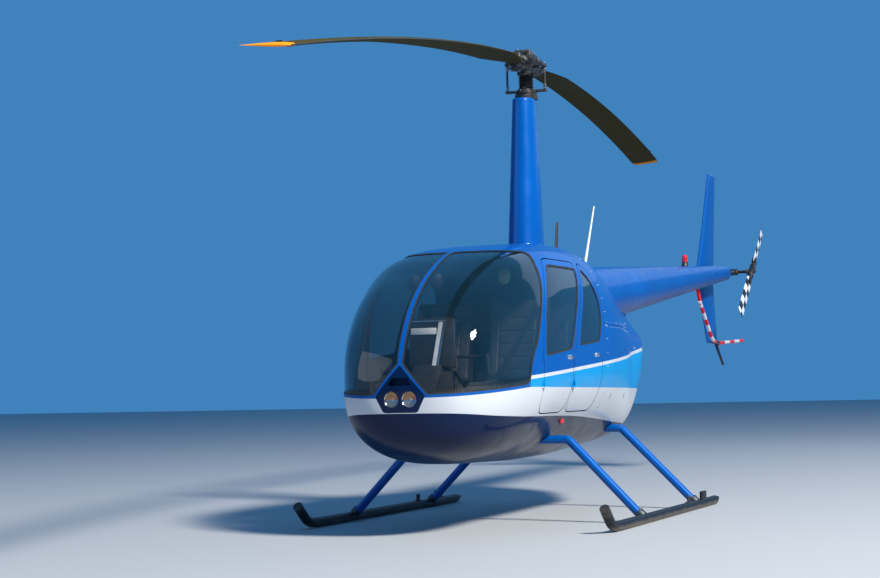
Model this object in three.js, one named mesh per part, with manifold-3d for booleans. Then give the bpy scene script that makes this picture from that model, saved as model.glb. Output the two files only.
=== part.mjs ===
// A light four-seat helicopter with a two-blade teetering rotor, standing on its skids.
// Millimetres. +X is the nose, +Y the left side, +Z up, and the ground is z = 0.
// Stations along X are measured from the rotor mast. At the end the whole model is moved by MAST_X,
// so that the frame's origin lies on the ground under the middle of the part.

import * as THREE from 'three';
import { mergeVertices } from 'three/addons/utils/BufferGeometryUtils.js';
import Module from 'manifold-3d';

const wasm = await Module();
wasm.setup();

// Driving dimensions
const MAST_X = 750;
const SEAM = 0.3;
const CABIN_WALL = 22;
const COWL_WALL = 8;
const GLASS_DEPTH = 5;
const GLASS = 5;
const DOOR_GAP = 7;
const SILL_Z = 735;
const FIREWALL_X = 200;
const FIREWALL = 20;
const FLOOR_Z = 620;
const COWL_SPLIT_Z = 1330;
const TAIL_COWL_X = -1150;
const TONGUE_Z = 1700;
const COWL_END_X = -2100;
const RING_POINTS = 28;

// Colours
const BLUE = 0x0b4fb8;
const NAVY = 0x0a1f4a;
const WHITE = 0xe8e8ea;
const TINTED = 0x2a343c;
const GREY = 0x4a4d52;
const BLACK = 0x1b1c1e;
const STEEL = 0x9a9ea3;
const LEATHER = 0x3c3a3a;
const RED = 0xc01818;

// The outer skin, nose to the end of the tail cowl under the boom.
// x, half width, height of the widest point, top, bottom, roundness above, roundness below
const SECTIONS = [
  [2345, 20, 920, 950, 890, 2.0, 2.0],
  [2325, 220, 920, 1060, 720, 2.1, 2.2],
  [2250, 375, 940, 1245, 575, 2.3, 2.4],
  [2100, 490, 960, 1447, 490, 2.7, 2.5],
  [1850, 575, 980, 1634, 440, 3.1, 2.4],
  [1500, 628, 1000, 1785, 425, 3.7, 2.1],
  [1100, 643, 1000, 1852, 415, 4.0, 1.8],
  [600, 643, 1000, 1893, 405, 3.7, 1.75],
  [100, 630, 1020, 1905, 410, 3.0, 1.8],
  [-400, 580, 1040, 1900, 445, 2.2, 2.1],
  [-900, 480, 1053, 1897, 515, 1.51, 3.27],
  [-1400, 395, 1140, 1844, 618, 1.14, 2.29],
  [-1800, 274, 1283, 1684, 834, 0.98, 2.33],
  [-2000, 110, 1340, 1589, 1230, 1.43, 1.8],
  [COWL_END_X, 60, 1520, 1560, 1480, 2.0, 2.0],
];

// Side outlines, as x and z
const WINDSHIELD_REAR = [[1695, 925], [1664, 1070], [1573, 1199], [1496, 1380], [1400, 1567],
  [1344, 1690], [1240, 1790]];
const WINDSHIELD = [[2500, 862], ...WINDSHIELD_REAR, [2500, 1790]];
const FRONT_DOOR = {
  hingeX: 1505,
  hingeY: 628,
  bottom: 740,
  top: 1740,
  front: [[1505, 740], [1505, 1120], [1497, 1200], [1465, 1380], [1368, 1567], [1259, 1690], [1190, 1740]],
  rear: [[985, 740], [985, 1100], [845, 1371], [610, 1740]],
  window: [[1470, 1098], [1462, 1200], [1434, 1375], [1338, 1555], [1235, 1680], [1180, 1702],
    [690, 1702], [668, 1690], [873, 1371], [991, 1148]],
  handle: [1030, 1097],
  tab: 30,
};
const REAR_DOOR = {
  hingeX: 950,
  hingeY: 643,
  bottom: 740,
  top: 1740,
  front: [[950, 740], [950, 1080], [811, 1371], [576, 1740]],
  rear: [[400, 740], [350, 1100], [275, 1300], [262, 1450], [290, 1600], [375, 1700], [470, 1740]],
  window: [[842, 1172], [768, 1371], [572, 1684], [545, 1702], [500, 1692], [420, 1640], [345, 1560],
    [312, 1470], [318, 1360], [385, 1215], [415, 1205]],
  handle: [470, 1117],
  tab: 23,
};
const HINGE_Z = [925, 1085];
const KNUCKLE = 9;

// Nose: outlines of the lamp housing and its inlet as y and z, and half the width of the windshield's post
const LAMP_HOUSING = [[-165, 868], [-112, 768], [112, 768], [165, 868], [0, 1056]];
const INLET = [[-78, 932], [-52, 978], [52, 978], [78, 932]];
const LAMPS_Y = 58;
const LAMPS_Z = 848;
const LAMP_RADIUS = 50;
const POST = 22;

// Seats: x of the back's foot, cushion front, y inner, y outer, base top
const SEAT_ROWS = { front: [1060, 1470, 60, 480, 850], rear: [430, 800, 50, 490, 850] };
const CUSHION = 105;
const BACK = 105;
const BACK_TOP = 1500;
const BACK_LEAN = 95;

// Rear, front, half width, bottom and top of the engine
const ENGINE = { rear: -940, front: -90, halfWidth: 340, bottom: 690, top: 1150 };

// Landing gear
const SKID_Y = 1052;
const SKID_RADIUS = 32;
const TUBE_RADIUS = 29;
// x, half span of the cross tube, its height
const CROSS_TUBES = { front: [840, 530, 552], rear: [-500, 480, 588] };

// Main rotor
const BLADE_AZIMUTH = THREE.MathUtils.degToRad(6.6);
const BLADE_TIP = 5029;
const BLADE_CHORD = 254;
const BLADE_THICKNESS = 30;
const BLADE_DROOP = 453;
const DROOP_POWER = 1.752;
const ROOT_PITCH = THREE.MathUtils.degToRad(4.6);
const TIP_PITCH = THREE.MathUtils.degToRad(-4);
const TEETER_SLOPE = 0.0631;
const HUB_Z = 3249;
const FAIRING_TOP = 2990;
const MAST_RADIUS = 32;
const SWASH_FIXED = [FAIRING_TOP + SEAM, 3032];
const SWASH_TURNING = [SWASH_FIXED[1] + SEAM, 3070];
const PITCH_LINK = 140;
const HUB_HALF = 150;
const GRIP_END = 345;
const HORN_RADIUS = 195;
const HORN_HALF = 12;
// The share of the chord by which a section's middle lies behind the line of the blade
const CHORD_SHIFT = 0.045;
// Radius, chord, thickness
const BLADE_FULL = 760;
const BLADE_STATIONS = [
  [330, 130, 44], [520, 190, 40], [BLADE_FULL, BLADE_CHORD, BLADE_THICKNESS], [1400, BLADE_CHORD, 28],
  [2100, BLADE_CHORD, 27], [2800, BLADE_CHORD, 27], [3500, BLADE_CHORD, 26], [4200, BLADE_CHORD, 25],
  [4960, BLADE_CHORD, 22], [BLADE_TIP, 235, 14],
];

// Tail
// The boom starts inside the cowls: x, radius and height of the axis at its root and at its end
const BOOM_ROOT_X = -940;
const BOOM_END_X = -5750;
const BOOM_RADIUS = [241.4, 78];
const BOOM_AXIS = [1579.2, 2022];
const TAIL_ROTOR = [-5893, 262, 2035];
const TAIL_BLADE_TIP = 700;
const TAIL_BLADE_ANGLE = THREE.MathUtils.degToRad(140.6);
const TAIL_CHORD = 130;
const TAIL_SHAFT = 140;
const TAIL_PITCH = -0.13;
const GUARD_RADIUS = 18;
// Fins: height of the station, x of the middle, chord, thickness
const FIN_Y = -128;
const UPPER_FIN = [[2031.3, -5520, 660, 62], [2500, -5690, 460, 50], [3060, -5875, 295, 32]];
const LOWER_FIN = [[1300, -5720, 400, 40], [1620, -5605, 520, 50], [1990.7, -5490, 640, 60]];
// Stabiliser: y of the station, x of the middle, chord, thickness
const STABILISER = [[-1060, -5420, 300, 26], [-158, -5420, 380, 38.5]];
const STABILISER_Z = 2011;

// Solids and their joining

function solid(geometry) {
  const bare = geometry.clone();
  bare.deleteAttribute('normal');
  bare.deleteAttribute('uv');
  const welded = mergeVertices(bare, 1e-3);
  const triangles = welded.index.array;
  return new wasm.Manifold(new wasm.Mesh({
    numProp: 3,
    vertProperties: new Float32Array(welded.attributes.position.array),
    triVerts: new Uint32Array(triangles),
  }));
}

function geometryOf(manifold) {
  const mesh = manifold.getMesh();
  const geometry = new THREE.BufferGeometry();
  geometry.setAttribute('position', new THREE.BufferAttribute(new Float32Array(mesh.vertProperties), 3));
  geometry.setIndex(new THREE.BufferAttribute(new Uint32Array(mesh.triVerts), 1));
  geometry.computeVertexNormals();
  return geometry;
}

function union(...parts) {
  return parts.reduce((whole, part) => whole.add(part));
}

function box(x0, x1, y0, y1, z0, z1) {
  const geometry = new THREE.BoxGeometry(x1 - x0, y1 - y0, z1 - z0);
  geometry.translate((x0 + x1) / 2, (y0 + y1) / 2, (z0 + z1) / 2);
  return solid(geometry);
}

function rod(from, to, startRadius, endRadius = startRadius, sides = 16) {
  const start = new THREE.Vector3(...from);
  const along = new THREE.Vector3(...to).sub(start);
  const geometry = new THREE.CylinderGeometry(endRadius, startRadius, along.length(), sides);
  const direction = along.clone().normalize();
  const turn = new THREE.Quaternion().setFromUnitVectors(new THREE.Vector3(0, 1, 0), direction);
  geometry.applyQuaternion(turn);
  const middle = start.clone().addScaledVector(along, 0.5);
  geometry.translate(middle.x, middle.y, middle.z);
  return solid(geometry);
}

// An outline with every side moved outwards by a distance, or inwards where it is negative
function offset(points, distance) {
  const outline = points.map(([u, v]) => new THREE.Vector2(u, v));
  const outwards = distance * Math.sign(THREE.ShapeUtils.area(outline));
  return outline.map((corner, i) => {
    const before = corner.clone().sub(outline[(i + outline.length - 1) % outline.length]).normalize();
    const after = outline[(i + 1) % outline.length].clone().sub(corner).normalize();
    const normals = new THREE.Vector2(before.y + after.y, -before.x - after.x);
    const moved = normals.multiplyScalar(outwards / (1 + before.dot(after))).add(corner);
    return [moved.x, moved.y];
  });
}

function shapeOf(points) {
  return new THREE.Shape(points.map(([u, v]) => new THREE.Vector2(u, v)));
}

// An outline in x and z, pushed through from y0 to y1
function sideways(points, y0, y1) {
  const geometry = new THREE.ExtrudeGeometry(shapeOf(points), { depth: y1 - y0, bevelEnabled: false });
  geometry.rotateX(Math.PI / 2);
  geometry.translate(0, y1, 0);
  return solid(geometry);
}

// An outline in y and z, pushed through from x0 to x1
function lengthways(points, x0, x1) {
  const geometry = new THREE.ExtrudeGeometry(shapeOf(points), { depth: x1 - x0, bevelEnabled: false });
  const axes = new THREE.Matrix4().makeBasis(
    new THREE.Vector3(0, 1, 0),
    new THREE.Vector3(0, 0, 1),
    new THREE.Vector3(1, 0, 0),
  );
  geometry.applyMatrix4(axes);
  geometry.translate(x0, 0, 0);
  return solid(geometry);
}

// A profile of radius and height, turned about the vertical through x, y
function turned(profile, x, y, sides = 32) {
  const points = profile.map(([radius, height]) => new THREE.Vector2(radius, height));
  const geometry = new THREE.LatheGeometry(points, sides);
  geometry.rotateX(Math.PI / 2);
  geometry.translate(x, y, 0);
  return solid(geometry);
}

// Rings of equal length joined into one closed body
function loft(rings) {
  const count = rings[0].length;
  const positions = rings.flat().flat();
  const index = [];
  for (let i = 0; i < rings.length - 1; i += 1) {
    for (let j = 0; j < count; j += 1) {
      const next = (j + 1) % count;
      const a = i * count + j;
      const b = i * count + next;
      const c = (i + 1) * count + j;
      const d = (i + 1) * count + next;
      index.push(a, b, c, b, d, c);
    }
  }
  const last = (rings.length - 1) * count;
  for (let j = 1; j < count - 1; j += 1) {
    index.push(0, j + 1, j);
    index.push(last, last + j, last + j + 1);
  }
  const geometry = new THREE.BufferGeometry();
  geometry.setAttribute('position', new THREE.BufferAttribute(new Float32Array(positions), 3));
  geometry.setIndex(index);
  const body = solid(geometry);
  return body.volume() < 0 ? solid(flipped(geometry)) : body;
}

function flipped(geometry) {
  const index = Array.from(geometry.index.array);
  for (let i = 0; i < index.length; i += 3) {
    [index[i], index[i + 1]] = [index[i + 1], index[i]];
  }
  geometry.setIndex(index);
  return geometry;
}

// The fuselage skin

// The section at a station, by smooth steps between the rows of the table
function sectionAt(x) {
  const rows = SECTIONS;
  let i = 0;
  while (i < rows.length - 2 && x < rows[i + 1][0]) {
    i += 1;
  }
  const [a, b] = [rows[i], rows[i + 1]];
  const before = rows[Math.max(i - 1, 0)];
  const after = rows[Math.min(i + 2, rows.length - 1)];
  const step = b[0] - a[0];
  const t = THREE.MathUtils.clamp((x - a[0]) / step, 0, 1);
  return a.map((value, column) => {
    const chord = (b[column] - a[column]) / step;
    const slopeIn = before === a ? chord : (a[column] - before[column]) / (a[0] - before[0]);
    const slopeOut = after === b ? chord : (after[column] - b[column]) / (after[0] - b[0]);
    const startSlope = slopeIn * chord > 0 ? 2 * slopeIn * chord / (slopeIn + chord) : 0;
    const endSlope = slopeOut * chord > 0 ? 2 * slopeOut * chord / (slopeOut + chord) : 0;
    const t2 = t * t;
    const t3 = t2 * t;
    return (2 * t3 - 3 * t2 + 1) * value + (t3 - 2 * t2 + t) * step * startSlope
      + (3 * t2 - 2 * t3) * b[column] + (t3 - t2) * step * endSlope;
  });
}

// One ring of the skin at a station, moved in by inset
function skinRing(x, inset) {
  const [, width, middle, top, bottom, above, below] = sectionAt(x);
  const halfWidth = Math.max(width - inset, 2);
  const rise = Math.max(top - inset - middle, 2);
  const drop = Math.max(middle - bottom - inset, 2);
  const nose = THREE.MathUtils.clamp((x - 1900) / (SECTIONS[0][0] - 1900), 0, 1);
  const ring = [];
  for (let i = 0; i < RING_POINTS; i += 1) {
    const angle = (i / RING_POINTS) * 2 * Math.PI;
    const [c, s] = [Math.cos(angle), Math.sin(angle)];
    const power = 2 / (s >= 0 ? above : below);
    const y = halfWidth * Math.sign(c) * Math.abs(c) ** power;
    const z = middle + (s >= 0 ? rise : drop) * Math.sign(s) * Math.abs(s) ** power;
    ring.push([x - inset * nose, y, z]);
  }
  return ring;
}

function skin(inset) {
  const stations = [];
  for (let i = SECTIONS.length - 1; i > 0; i -= 1) {
    const [start, end] = [SECTIONS[i][0], SECTIONS[i - 1][0]];
    const steps = end - start > 300 ? 2 : 1;
    for (let k = 0; k < steps; k += 1) {
      stations.push(start + (end - start) * (k / steps));
    }
  }
  stations.push(SECTIONS[0][0]);
  const rings = stations.map((x) => skinRing(x, inset));
  const stub = skinRing(COWL_END_X, inset).map(([, y, z]) => [COWL_END_X - 10, y, z]);
  return loft([stub, ...rings]);
}

const outer = skin(0);
const cabinInside = skin(CABIN_WALL);
const cabinShell = outer.subtract(cabinInside);
const cowlShell = outer.subtract(skin(COWL_WALL));

const FAR = 3000;

// Doors

// The space that a door fills, grown by a gap: its front edge is an outline, its rear edge is turned
// about the hinge line so that it swings past its jamb.
function doorSpace(door, side, grow) {
  const low = door.bottom - grow;
  const high = door.top + grow;
  const front = door.front.map(([x, z]) => [x + grow, z]);
  front[0][1] = low;
  front[front.length - 1][1] = high;
  const outline = [...front, [door.hingeX - 1500, high], [door.hingeX - 1500, low]];
  const slab = side > 0 ? sideways(outline, 100, 1000) : sideways(outline, -1000, -100);
  const reach = door.rear.map(([x, z]) => [door.hingeX - x + grow, z]);
  reach[0][1] = low;
  reach[reach.length - 1][1] = high;
  const swing = turned([[0, low], ...reach, [0, high]], door.hingeX, side * door.hingeY, 120);
  return slab.intersect(swing);
}

function windowSpace(door, side, shrink) {
  const outline = offset(door.window, -shrink);
  return side > 0 ? sideways(outline, 100, 1000) : sideways(outline, -1000, -100);
}

const paneShell = skin(GLASS_DEPTH).subtract(skin(GLASS_DEPTH + GLASS));

// A box given by its depth range from the hinge line, on either side of the aircraft
function hingeBox(door, side, x0, x1, depth0, depth1, z0, z1) {
  const near = side * (door.hingeY - depth0);
  const far = side * (door.hingeY - depth1);
  return box(door.hingeX + x0, door.hingeX + x1, Math.min(near, far), Math.max(near, far), z0, z1);
}

function hingePin(door, side, radius, z0, z1) {
  const y = side * door.hingeY;
  return rod([door.hingeX, y, z0], [door.hingeX, y, z1], radius, radius, 12);
}

// The recess around the knuckles, in both the door and the frame
function hingeRecess(door, side) {
  return union(...HINGE_Z.map((z) => hingePin(door, side, KNUCKLE + 5, z - 30, z + 30)));
}

function doorKnuckles(door, side) {
  return union(...HINGE_Z.map((z) => union(
    hingePin(door, side, KNUCKLE, z - 12, z + 12),
    hingeBox(door, side, -48, 0, 2, 12, z - 12, z + 12),
  )));
}

function frameKnuckles(door, side) {
  const spans = HINGE_Z.flatMap((z) => [[z - 28, z - 12 - SEAM], [z + 12 + SEAM, z + 28]]);
  return union(...spans.map(([z0, z1]) => union(
    hingePin(door, side, KNUCKLE, z0, z1),
    hingeBox(door, side, 4, door.tab, 3, 20, z0, z1),
  )));
}

function doorPanel(door, side) {
  const [x, z] = door.handle;
  const handle = box(x - 30, x + 60, side > 0 ? 628 : -660, side > 0 ? 660 : -628, z - 9, z + 9);
  return cabinShell.intersect(doorSpace(door, side, 0))
    .subtract(windowSpace(door, side, 0))
    .subtract(hingeRecess(door, side))
    .add(union(handle, doorKnuckles(door, side)));
}

function doorGlass(door, side) {
  return paneShell.intersect(windowSpace(door, side, SEAM));
}

// Cabin

function windshieldSpace(side, shrink) {
  const outline = offset(WINDSHIELD, -shrink);
  const half = side > 0 ? sideways(outline, POST + shrink, 1000) : sideways(outline, -1000, -POST - shrink);
  return half.subtract(lengthways(offset(LAMP_HOUSING, 14 + shrink), 2000, 2500));
}

function windshield(side) {
  return paneShell.intersect(windshieldSpace(side, SEAM));
}

function cabinFrame() {
  let frame = cabinShell.intersect(box(FIREWALL_X, FAR, -FAR, FAR, SILL_Z, FAR));
  for (const side of [1, -1]) {
    frame = frame.subtract(windshieldSpace(side, 0));
    frame = frame.subtract(doorSpace(FRONT_DOOR, side, DOOR_GAP));
    frame = frame.subtract(doorSpace(REAR_DOOR, side, DOOR_GAP));
    for (const door of [FRONT_DOOR, REAR_DOOR]) {
      frame = frame.subtract(hingeRecess(door, side)).add(frameKnuckles(door, side));
    }
  }
  return frame.subtract(lengthways(offset(LAMP_HOUSING, SEAM), 2000, 2500));
}

function crossTubeHole([x, , z]) {
  return rod([x, -900, z], [x, 900, z], TUBE_RADIUS + 1, TUBE_RADIUS + 1, 20);
}

function lowerFuselage() {
  return cabinShell.intersect(box(FIREWALL_X, FAR, -FAR, FAR, 0, SILL_Z - SEAM))
    .subtract(crossTubeHole(CROSS_TUBES.front));
}

function lampHousing() {
  let housing = outer.subtract(skin(60)).intersect(lengthways(LAMP_HOUSING, 2200, 2500));
  for (const side of [1, -1]) {
    const y = side * LAMPS_Y;
    const bore = LAMP_RADIUS + SEAM;
    housing = housing.subtract(rod([2240, y, LAMPS_Z], [2500, y, LAMPS_Z], bore, bore, 24));
  }
  return housing.subtract(lengthways(INLET, 2310, 2500));
}

function lamps() {
  const bowls = [1, -1].map((side) => rod(
    [2262, side * LAMPS_Y, LAMPS_Z], [2326, side * LAMPS_Y, LAMPS_Z], LAMP_RADIUS, LAMP_RADIUS, 24,
  ));
  const carrier = box(2250, 2264, -LAMPS_Y - 30, LAMPS_Y + 30, LAMPS_Z - 20, LAMPS_Z + 20);
  return union(carrier, ...bowls);
}

function firewall() {
  return skin(CABIN_WALL + SEAM).intersect(box(FIREWALL_X, FIREWALL_X + FIREWALL, -FAR, FAR, 0, FAR));
}

function cabinFloor() {
  const front = 2080;
  return skin(CABIN_WALL + SEAM)
    .intersect(box(FIREWALL_X + FIREWALL + SEAM, front, -FAR, FAR, FLOOR_Z - 14, FLOOR_Z));
}

function seatBase([rear, front, , outerY, top]) {
  return skin(CABIN_WALL + SEAM)
    .intersect(box(rear - 90, front - 20, -outerY, outerY, FLOOR_Z + SEAM, top));
}

function seatPad([rear, front, inner, outerY, top], side) {
  const z0 = top + SEAM;
  const outline = [[rear - 90, z0], [front, z0], [front, z0 + CUSHION - 25], [front - 40, z0 + CUSHION],
    [rear + 40, z0 + CUSHION - 15], [rear - BACK_LEAN + 10, BACK_TOP],
    [rear - BACK_LEAN - BACK + 20, BACK_TOP]];
  return side > 0 ? sideways(outline, inner, outerY) : sideways(outline, -outerY, -inner);
}

function instrumentConsole() {
  const outline = [[1620, FLOOR_Z + SEAM], [2060, FLOOR_Z + SEAM], [2020, 900], [1905, 1060], [1755, 1060],
    [1700, 760], [1620, 700]];
  const pedestal = sideways(outline, -95, 95);
  const panel = sideways([[1755, 1040], [1905, 1040], [1890, 1330], [1850, 1355], [1725, 1345]], -125, 125);
  return union(pedestal, panel);
}

function cyclic() {
  const foot = rod([1520, 0, FLOOR_Z + SEAM], [1520, 0, FLOOR_Z + 40], 45, 35, 16);
  const column = rod([1520, 0, FLOOR_Z + 30], [1440, 0, 1080], 14, 12, 10);
  const bar = rod([1440, -230, 1110], [1440, 230, 1110], 11, 11, 10);
  const grips = [1, -1].map((side) => rod([1440, side * 215, 1110], [1440, side * 225, 990], 14, 16, 10));
  const top = rod([1440, 0, 1070], [1440, 0, 1115], 14, 14, 10);
  return union(foot, column, top, bar, ...grips);
}

// Aft body

function aftCowl(x0, x1, y0, y1, z0, z1) {
  return cowlShell.intersect(box(x0, x1, y0, y1, z0, z1)).subtract(crossTubeHole(CROSS_TUBES.rear));
}

function sideCowl(side) {
  const [y0, y1] = side > 0 ? [SEAM / 2, FAR] : [-FAR, -SEAM / 2];
  return aftCowl(TAIL_COWL_X + SEAM, FIREWALL_X - SEAM, y0, y1, 0, COWL_SPLIT_Z);
}

// The upper cowl runs on as a tongue over the boom's root
function upperCowl() {
  const main = box(TAIL_COWL_X + SEAM, FIREWALL_X - SEAM, -FAR, FAR, COWL_SPLIT_Z + SEAM, FAR);
  const tongue = box(COWL_END_X, FIREWALL_X - SEAM, -FAR, FAR, TONGUE_Z, FAR);
  return cowlShell.intersect(main.add(tongue)).subtract(tailBoomGrown);
}

function tailCowl() {
  return cowlShell.intersect(box(COWL_END_X, TAIL_COWL_X, -FAR, FAR, 0, TONGUE_Z)).subtract(tailBoomGrown);
}

// The engine as one block, with mount arms that reach the firewall
function engine() {
  const { rear, front, halfWidth, bottom, top } = ENGINE;
  const block = box(rear, front, -halfWidth, halfWidth, bottom, top);
  const arms = [[1, 760], [-1, 760], [1, 1090], [-1, 1090]].map(([side, z]) => rod(
    [front - 20, side * 280, z], [FIREWALL_X - SEAM, side * 280, z], 18, 18, 10,
  ));
  return union(block, ...arms);
}

function exhaust() {
  const pipe = rod([-1010, 150, 640], [-1080, 150, 541], 32, 32, 16);
  const bore = rod([-1010, 150, 640], [-1160, 150, 427], 27, 27, 16);
  const muffler = box(-1080, ENGINE.rear - SEAM, 90, 210, 700, 790);
  const neck = rod([-1010, 150, 740], [-1010, 150, 640], 32, 32, 16);
  return union(muffler, neck, pipe).subtract(bore);
}

function exhaustHole() {
  return rod([-950, 150, 725], [-1160, 150, 427], 44, 44, 16);
}

// Mast fairing: a symmetric airfoil standing on the roof
function airfoil(chord, thickness, count) {
  const points = [];
  for (let i = 0; i < count; i += 1) {
    const angle = (i / count) * 2 * Math.PI;
    const along = 0.5 * (1 + Math.cos(angle));
    const half = thickness * (1.484 * Math.sqrt(1 - along) - 0.63 * (1 - along) - 1.758 * (1 - along) ** 2
      + 1.4215 * (1 - along) ** 3 - 0.518 * (1 - along) ** 4);
    points.push([(along - 0.5) * chord, Math.sign(Math.sin(angle) || 1) * Math.abs(half)]);
  }
  return points;
}

function mastFairing() {
  const stations = [[1800, 530, 240], [2400, 420, 200], [FAIRING_TOP, 335, 155]];
  const rings = stations.map(([z, chord, thickness]) => airfoil(chord, thickness, 28)
    .map(([x, y]) => [x - 10, y, z]));
  return loft(rings).subtract(skin(-SEAM));
}

// Rotor head

function ring(radiusIn, radiusOut, z0, z1, sides = 32) {
  const profile = [[radiusIn, z0], [radiusOut, z0], [radiusOut, z1], [radiusIn, z1], [radiusIn, z0]];
  return turned(profile, 0, 0, sides);
}

// A point of the rotor's blade line, at a radius on the low (1) or the high (-1) blade
function bladePoint(radius, blade) {
  const z = HUB_Z - blade * TEETER_SLOPE * radius - BLADE_DROOP * (radius / BLADE_TIP) ** DROOP_POWER;
  return [blade * radius, 0, z];
}

function azimuthTurned(manifold) {
  return manifold.rotate([0, 0, THREE.MathUtils.radToDeg(BLADE_AZIMUTH)]);
}

function rotorHub() {
  const shaft = rod([0, 0, FAIRING_TOP + DOOR_GAP], [0, 0, HUB_Z], MAST_RADIUS, MAST_RADIUS, 24);
  const beam = rod(bladePoint(HUB_HALF, -1), bladePoint(HUB_HALF, 1), 56, 56, 16);
  const teeterBolt = rod([0, -105, HUB_Z], [0, 105, HUB_Z], 26, 26, 16);
  const cap = box(-95, 95, -48, 48, HUB_Z + 20, HUB_Z + 108);
  return azimuthTurned(union(shaft, beam, teeterBolt, cap));
}

function turningSwashplate() {
  const plate = ring(MAST_RADIUS + SEAM, 78, ...SWASH_TURNING);
  const arms = [1, -1].map((blade) => {
    const y = blade * PITCH_LINK;
    const linkTop = hornHeight(blade) - HORN_HALF - SEAM;
    return union(
      box(-16, 16, Math.min(blade * 60, y + blade * 16), Math.max(blade * 60, y + blade * 16), 3044, 3066),
      rod([0, y, 3050], [0, y, linkTop], 9, 9, 10),
    );
  });
  return union(plate, ...arms);
}

function hornHeight(blade) {
  return bladePoint(HORN_RADIUS, blade)[2];
}

// The horn reaches out from the grip and back to the teeter line, where the pitch link meets it
function pitchHorn(blade) {
  const z = hornHeight(blade);
  const outline = [[HORN_RADIUS - 25, 20], [HORN_RADIUS + 25, 20], [HORN_RADIUS + 25, PITCH_LINK + 16],
    [-16, PITCH_LINK + 16], [-16, PITCH_LINK - 16], [HORN_RADIUS - 25, PITCH_LINK - 16]];
  const options = { depth: 2 * HORN_HALF, bevelEnabled: false };
  const geometry = new THREE.ExtrudeGeometry(shapeOf(outline), options);
  geometry.rotateZ(blade > 0 ? 0 : Math.PI);
  geometry.translate(0, 0, z - HORN_HALF);
  return solid(geometry);
}

function mainBlade(blade) {
  const rings = BLADE_STATIONS.map(([radius, chord, thickness]) => {
    const [x, , z] = bladePoint(radius, blade);
    const out = Math.max(radius, BLADE_FULL);
    const pitch = THREE.MathUtils.mapLinear(out, BLADE_FULL, BLADE_TIP, ROOT_PITCH, TIP_PITCH);
    const [c, s] = [Math.cos(pitch), Math.sin(pitch)];
    return airfoil(chord, thickness, 14).map(([u, v]) => {
      const fore = u - chord * CHORD_SHIFT;
      return [x, blade * (fore * c - v * s), z + fore * s + v * c];
    });
  });
  const grip = rod(bladePoint(HUB_HALF + 1.3, blade), bladePoint(GRIP_END, blade), 62, 44, 16);
  return azimuthTurned(union(loft(rings), grip, pitchHorn(blade)));
}

// Tail

function boomRadius(x) {
  return THREE.MathUtils.mapLinear(x, BOOM_ROOT_X, BOOM_END_X, ...BOOM_RADIUS);
}

function boomAxis(x) {
  return THREE.MathUtils.mapLinear(x, BOOM_ROOT_X, BOOM_END_X, ...BOOM_AXIS);
}

function tailBoom(rootX, grow) {
  const rings = [BOOM_END_X, rootX].map((x) => {
    const radius = boomRadius(x) + grow;
    const points = [];
    for (let i = 0; i < RING_POINTS; i += 1) {
      const angle = (i / RING_POINTS) * 2 * Math.PI;
      points.push([x, radius * Math.cos(angle), boomAxis(x) + radius * Math.sin(angle)]);
    }
    return points;
  });
  return loft(rings);
}

function tailGearbox() {
  const [x, y, z] = TAIL_ROTOR;
  const boomEnd = boomAxis(BOOM_END_X);
  const flange = rod([BOOM_END_X - SEAM, 0, boomEnd], [BOOM_END_X - 32, 0, boomEnd], 80, 76, 24);
  const cap = rod([BOOM_END_X - 25, 0, boomEnd], [x - 45, 0, z], 76, 34, 24);
  const output = rod([x, 0, z], [x, y - TAIL_SHAFT, z], 34, 30, 20);
  return union(flange, cap, output);
}

function fin(stations) {
  return loft(stations.map(([z, x, chord, thickness]) => airfoil(chord, thickness, 16)
    .map(([u, v]) => [x + u, FIN_Y + v, z])));
}

function stabiliser() {
  const rings = STABILISER.map(([y, x, chord, thickness]) => airfoil(chord, thickness, 16)
    .map(([u, v]) => [x + u, y, STABILISER_Z + v]));
  const root = box(-5600, -5240, -160, boomFace(-5240) - SEAM, STABILISER_Z - 20, STABILISER_Z + 20);
  return union(loft(rings), root);
}

// The y of the boom's right flank at a station
function boomFace(x) {
  return -boomRadius(x);
}

function pathTube(points, radius, sides, steps) {
  const curve = new THREE.CurvePath();
  const corners = points.map((point) => new THREE.Vector3(...point));
  const bend = 0.35;
  let start = corners[0];
  for (let i = 1; i < corners.length - 1; i += 1) {
    const sideBefore = corners[i].distanceTo(corners[i - 1]);
    const sideAfter = corners[i].distanceTo(corners[i + 1]);
    const reach = Math.min(sideBefore, sideAfter) * bend;
    const into = corners[i].clone().sub(corners[i - 1]).setLength(reach);
    const out = corners[i + 1].clone().sub(corners[i]).setLength(reach);
    const bendStart = corners[i].clone().sub(into);
    const bendEnd = corners[i].clone().add(out);
    curve.add(new THREE.LineCurve3(start, bendStart));
    curve.add(new THREE.QuadraticBezierCurve3(bendStart, corners[i], bendEnd));
    start = bendEnd;
  }
  curve.add(new THREE.LineCurve3(start, corners[corners.length - 1]));
  const section = new THREE.Shape();
  section.absarc(0, 0, radius, 0, 2 * Math.PI, false);
  const geometry = new THREE.ExtrudeGeometry(section, {
    steps,
    curveSegments: sides / 2,
    extrudePath: curve,
    bevelEnabled: false,
  });
  return solid(geometry);
}

function tailGuard() {
  const tube = pathTube([[-4760, 0, 1700], [-5230, 0, 1318], [-5500, 0, 1300], [-6509.66, 0, 1340]],
    GUARD_RADIUS, 8, 18);
  const strut = rod([-4700, 0, 1822], [-4790, 0, 1672], GUARD_RADIUS, GUARD_RADIUS, 12);
  const toFin = rod([-5640, 0, 1312], [-5640, FIN_Y + 14, 1312], 12, 12, 10);
  const stinger = rod([-5560, -60, 1316], [-5865, -60, 1085], 15, 13, 12);
  const brace = rod([-5610, 0, 1306], [-5610, -64, 1280], 12, 12, 10);
  return union(tube, strut, toFin, stinger, brace).subtract(tailBoomGrown).subtract(lowerFinGrown);
}

const tailBoomGrown = tailBoom(BOOM_ROOT_X + 10, SEAM);

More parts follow.
